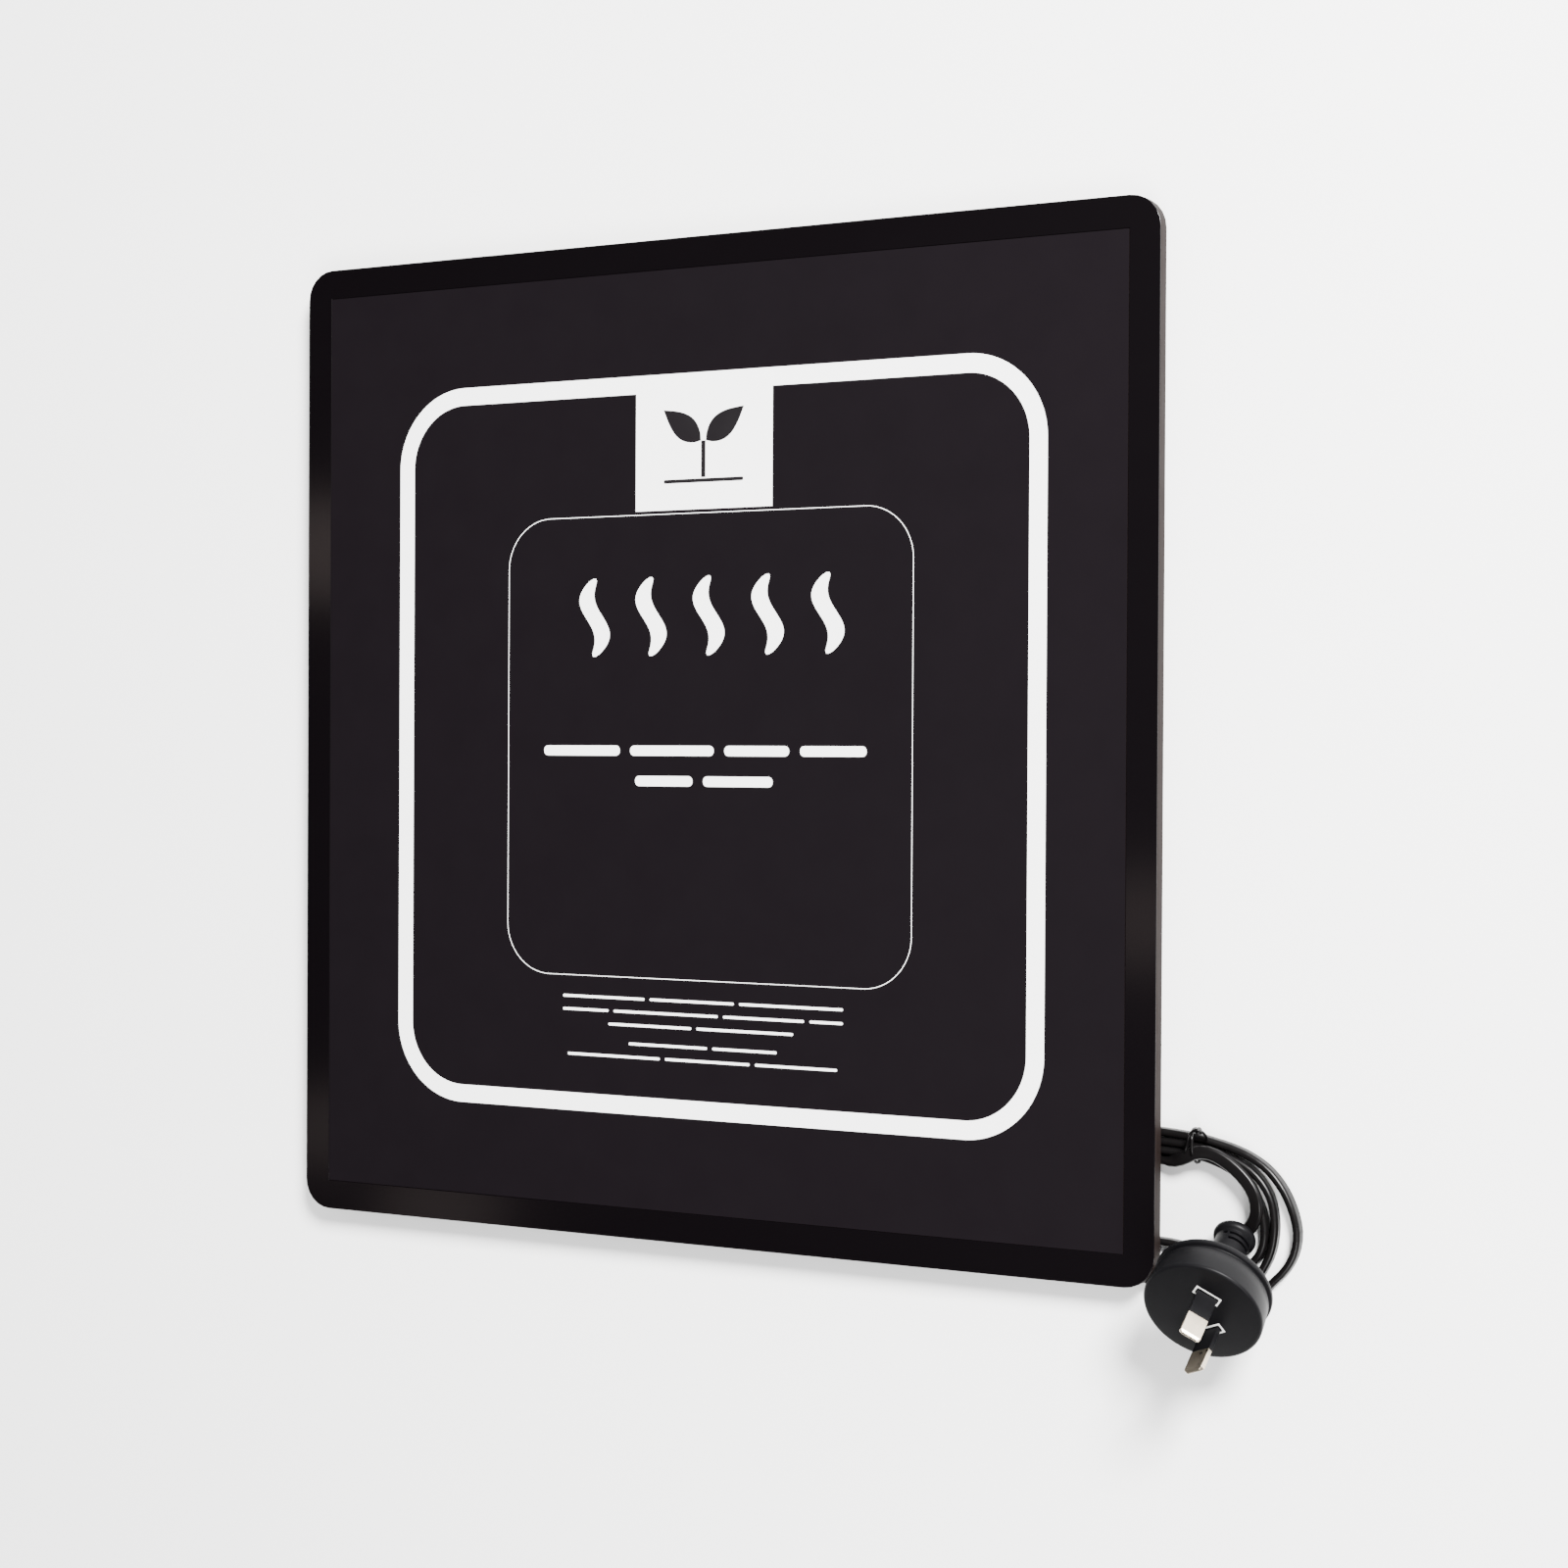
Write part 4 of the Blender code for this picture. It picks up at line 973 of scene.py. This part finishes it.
def pin_seats(place):
    """Each pin's turn and its centre in the plug's own frame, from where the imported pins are."""
    found = []
    for name in ("plug_pin_active", "plug_pin_neutral"):
        verts = [place.inverted() @ vert.co for vert in frame["nodes"][name].data.vertices]
        middle = sum(verts, Vector()) / len(verts)
        level = [a - b for a in verts for b in verts if abs(a.z - b.z) < 1e-5]
        wide = min(level, key=lambda gap: abs(gap.xy.length - PIN_WIDTH))
        found.append((math.atan2(wide.y, wide.x), (middle.x, middle.y)))
    return found


class HEATMAT_OT_pins(bpy.types.Operator):
    """Rounds the pins and their sleeves, and darkens the middle of each seat"""

    bl_idname = "heatmat.pins"
    bl_label = "Pins"

    def execute(self, context):
        place = plug_place(context.scene.heat_mat_plug)
        for side in ("active", "neutral"):
            packed_copy(f"pin_{side}", f"plug_pin_{side}", "nickel", 0.16 * MM, 2)
            packed_copy(f"sleeve_{side}", f"pin_sleeve_{side}", "plug_black", 0.14 * MM, 2)
        seats = zip(("active", "neutral"), pin_seats(place))
        for side, (turn, centre) in seats:
            shape = plate(7.15 * MM, 2.4 * MM, 0.5 * MM, -0.07 * MM, -0.01 * MM, steps=4)
            matrix = place @ Matrix.Translation((*centre, 0)) @ Matrix.Rotation(turn, 4, "Z")
            bmesh.ops.transform(shape, matrix=matrix, verts=shape.verts)
            piece(f"seat_middle_{side}", shape, "plug_black")
        return {"FINISHED"}


# ---------------------------------------------------------------- mat


class HEATMAT_OT_slab(bpy.types.Operator):
    """Rounds the edges of the panel and of the tray"""

    bl_idname = "heatmat.slab"
    bl_label = "Slab"

    def execute(self, context):
        packed_copy("panel_shell", "top_panel", "gloss_black", 0.35 * MM, 3)
        packed_copy("tray_shell", "base_tray", "tray_black", 0.3 * MM, 3)
        return {"FINISHED"}


class HEATMAT_OT_frames(bpy.types.Operator):
    """Prints the broad frame and the fine frame"""

    bl_idname = "heatmat.frames"
    bl_label = "Frames"

    def execute(self, context):
        picked = context.scene.heat_mat_print
        top = FACE_Z + picked.thickness
        across, up = face_point(0.5057, 0.495)
        broad = plate(
            picked.frame_width, picked.frame_height, picked.frame_radius, FACE_Z, top, (across, up),
            picked.frame_band, 24,
        )
        piece("broad_frame", broad, "ink")
        across, up = face_point(0.5057, 0.4943)
        fine = plate(
            picked.fine_width, picked.fine_height, picked.fine_radius, FACE_Z, top, (across, up),
            picked.fine_band, 20,
        )
        piece("fine_frame", fine, "ink")
        return {"FINISHED"}


class HEATMAT_OT_label(bpy.types.Operator):
    """Prints the white label with one plain sprout on a line of soil"""

    bl_idname = "heatmat.label"
    bl_label = "Label"

    def execute(self, context):
        picked = context.scene.heat_mat_print
        low, top = FACE_Z, FACE_Z + picked.thickness * 2
        left = -24.2 * MM
        bottom = 75.8 * MM
        across = left + picked.label_width / 2
        ground = plate(
            picked.label_width, picked.label_height, 0, low, top, (across, bottom + picked.label_height / 2)
        )
        piece("label", ground, "ink")
        ink = top + picked.thickness
        emblem = flat_curve_shape(self.sprout((across, bottom + 10.4 * MM), 23.0 * MM), top, ink)
        soil = plate(30.0 * MM, 1.2 * MM, 0.5 * MM, top, ink, (across, bottom + 9.4 * MM), steps=4)
        piece("label_sprout", join_into(emblem, soil), "ink_black")
        return {"FINISHED"}

    def leaf(self, base, tip, width, steps=12):
        """A pointed leaf between two places."""
        along = Vector((tip[0] - base[0], tip[1] - base[1]))
        aside = Vector((-along.y, along.x)).normalized() * width / 2
        start = Vector(base)
        edge = []
        for step in range(steps + 1):
            t = step / steps
            edge.append(start + along * t + aside * math.sin(math.pi * t ** 0.8))
        for step in range(1, steps):
            t = 1 - step / steps
            edge.append(start + along * t - aside * math.sin(math.pi * t ** 0.8))
        return [tuple(point) for point in edge]

    def sprout(self, foot, size):
        """Outlines of a stem with two leaves."""
        x, y = foot
        half = 0.035 * size
        head = y + 0.52 * size
        stem = [(x - half, y), (x + half, y), (x + half, head), (x - half, head)]
        right = self.leaf((x + 1.2 * half, head), (x + 0.66 * size, y + 0.98 * size), 0.36 * size)
        left = self.leaf((x - 1.2 * half, head), (x - 0.66 * size, y + 0.98 * size), 0.36 * size)
        return [stem, right, left]


# The heat waves: their places across the face, half their width and how far they sway, in millimetres
WAVE_PLACES = (-44, -22, 0, 22, 44)
WAVE_HALF = 3.4
WAVE_SWAY = 3.0


class HEATMAT_OT_waves(bpy.types.Operator):
    """Prints a row of plain upright heat waves"""

    bl_idname = "heatmat.waves"
    bl_label = "Heat waves"

    def execute(self, context):
        picked = context.scene.heat_mat_print
        x, base = face_point(0.512, 0.585)
        height = 26.0 * MM
        outlines = [self.wave(x + place * MM, base, height) for place in WAVE_PLACES]
        shape = flat_curve_shape(outlines, FACE_Z, FACE_Z + picked.thickness)
        piece("heat_waves", shape, "ink")
        return {"FINISHED"}

    def wave(self, x, base, height, steps=32):
        """One upright wavy stroke, narrow at both ends."""
        right, left = [], []
        for step in range(steps + 1):
            share = step / steps
            middle = x + WAVE_SWAY * MM * math.sin(2 * math.pi * share)
            half = WAVE_HALF * MM * (0.15 + 0.85 * math.sqrt(abs(math.sin(math.pi * share))))
            right.append((middle + half, base + height * share))
            left.append((middle - half, base + height * share))
        return right + left[::-1]


# Rows of plain bars: height up the face, thickness, and each bar's start and end, in millimetres
BROAD_ROWS = (
    (-3.2, 3.4, ((-60, -30), (-26, 6), (10, 34), (38, 62))),
    (-13.2, 3.4, ((-24, -2), (2, 28))),
)
FINE_ROWS = (
    (-85.4, 0.9, ((-52, -20), (-18, 14), (16, 54))),
    (-89.8, 0.9, ((-52, -34), (-32, 8), (10, 40), (42, 54))),
    (-94.2, 0.9, ((-34, -2), (0, 36))),
    (-100.4, 0.9, ((-26, 4), (6, 30))),
    (-104.8, 0.9, ((-50, -14), (-12, 20), (22, 52))),
)


class HEATMAT_OT_bars(bpy.types.Operator):
    """Prints the rows of plain bars on the face, with no lettering"""

    bl_idname = "heatmat.bars"
    bl_label = "Bars"

    def execute(self, context):
        top = FACE_Z + context.scene.heat_mat_print.thickness
        piece("broad_bars", self.rows(BROAD_ROWS, top), "ink")
        piece("fine_bars", self.rows(FINE_ROWS, top), "ink")
        return {"FINISHED"}

    def rows(self, rows, top):
        """Every bar of some rows, with round ends."""
        shape = bmesh.new()
        for height, thick, spans in rows:
            for start, end in spans:
                centre = ((start + end) / 2 * MM, height * MM)
                width = (end - start) * MM
                bar = plate(width, thick * MM, 0.45 * thick * MM, FACE_Z, top, centre, steps=4)
                join_into(shape, bar)
        return shape


class HEATMAT_OT_underside(bpy.types.Operator):
    """Rounds the feet, the entry housing, the strain relief, the clamp and the thermal cutout"""

    bl_idname = "heatmat.underside"
    bl_label = "Underside"

    def execute(self, context):
        for row in ("top", "middle", "bottom"):
            for side in ("left", "right"):
                packed_copy(f"pad_{row}_{side}", f"foot_{row}_{side}", "rubber", 0.25 * MM, 2)
        packed_copy("entry_cover", "entry_housing", "tray_black", 0.3 * MM, 2)
        packed_copy("relief_sleeve", "cord_strain_relief", "rubber", 0.3 * MM, 3)
        packed_copy("clamp_bar", "cord_clamp", "tray_black", 0.2 * MM, 2)
        packed_copy("cutout_case", "thermal_cutout", "fuse_cream", 0.3 * MM, 2)
        return {"FINISHED"}


class HEATMAT_OT_packed(bpy.types.Operator):
    """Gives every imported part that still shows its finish"""

    bl_idname = "heatmat.packed"
    bl_label = "Packed parts"

    def execute(self, context):
        made = finishes()
        slots = {part["node"]: part["material_slot"] for part in frame["record"]["subparts"]}
        for name, obj in frame["nodes"].items():
            if obj.hide_render:
                continue
            obj.data.materials.clear()
            obj.data.materials.append(made[slots[name]])
        return {"FINISHED"}


class HEATMAT_PT_panel(bpy.types.Panel):
    """Lists the sizes, colours and steps of the heat mat"""

    bl_idname = "HEATMAT_PT_panel"
    bl_label = "Heat mat"
    bl_space_type = "VIEW_3D"
    bl_region_type = "UI"
    bl_category = "Heat mat"

    def draw(self, context):
        layout = self.layout
        for title, group in (
            ("Finishes", "heat_mat_finishes"), ("Print", "heat_mat_print"), ("Lead", "heat_mat_lead"),
            ("Plug", "heat_mat_plug"), ("Studio", "heat_mat_studio"),
        ):
            box = layout.box()
            box.label(text=title)
            values = getattr(context.scene, group)
            for name in values.__annotations__:
                box.prop(values, name)
        column = layout.column(align=True)
        for operator in OPERATORS:
            column.operator(operator.bl_idname)


GROUPS = {
    "heat_mat_finishes": HeatMatFinishes,
    "heat_mat_print": HeatMatPrint,
    "heat_mat_lead": HeatMatLead,
    "heat_mat_plug": HeatMatPlug,
    "heat_mat_studio": HeatMatStudio,
}
OPERATORS = (
    HEATMAT_OT_stage, HEATMAT_OT_lead, HEATMAT_OT_tie, HEATMAT_OT_plug, HEATMAT_OT_pins, HEATMAT_OT_slab,
    HEATMAT_OT_frames, HEATMAT_OT_label, HEATMAT_OT_waves, HEATMAT_OT_bars, HEATMAT_OT_underside,
    HEATMAT_OT_packed,
)


def register():
    for group in (*GROUPS.values(), *OPERATORS, HEATMAT_PT_panel):
        bpy.utils.register_class(group)
    for name, group in GROUPS.items():
        setattr(bpy.types.Scene, name, PointerProperty(type=group))


def unregister():
    for name in GROUPS:
        delattr(bpy.types.Scene, name)
    for group in reversed((*GROUPS.values(), *OPERATORS, HEATMAT_PT_panel)):
        bpy.utils.unregister_class(group)


def declare_lead():
    """Lists the names of the pieces on the lead's end, and does nothing more with them."""
    names = ["plug_shell", "plug_pin_bridge", "twist_tie"]
    for side in ("active", "neutral"):
        names += [f"pin_{side}", f"sleeve_{side}", f"seat_middle_{side}"]


def main():
    register()
    bpy.ops.heatmat.stage()
    bpy.ops.heatmat.lead()
    bpy.ops.heatmat.tie()
    bpy.ops.heatmat.plug()
    bpy.ops.heatmat.pins()
    bpy.ops.heatmat.slab()
    bpy.ops.heatmat.frames()
    bpy.ops.heatmat.label()
    bpy.ops.heatmat.waves()
    bpy.ops.heatmat.bars()
    bpy.ops.heatmat.underside()
    bpy.ops.heatmat.packed()
    declare_lead()


if __name__ == "__main__":
    main()
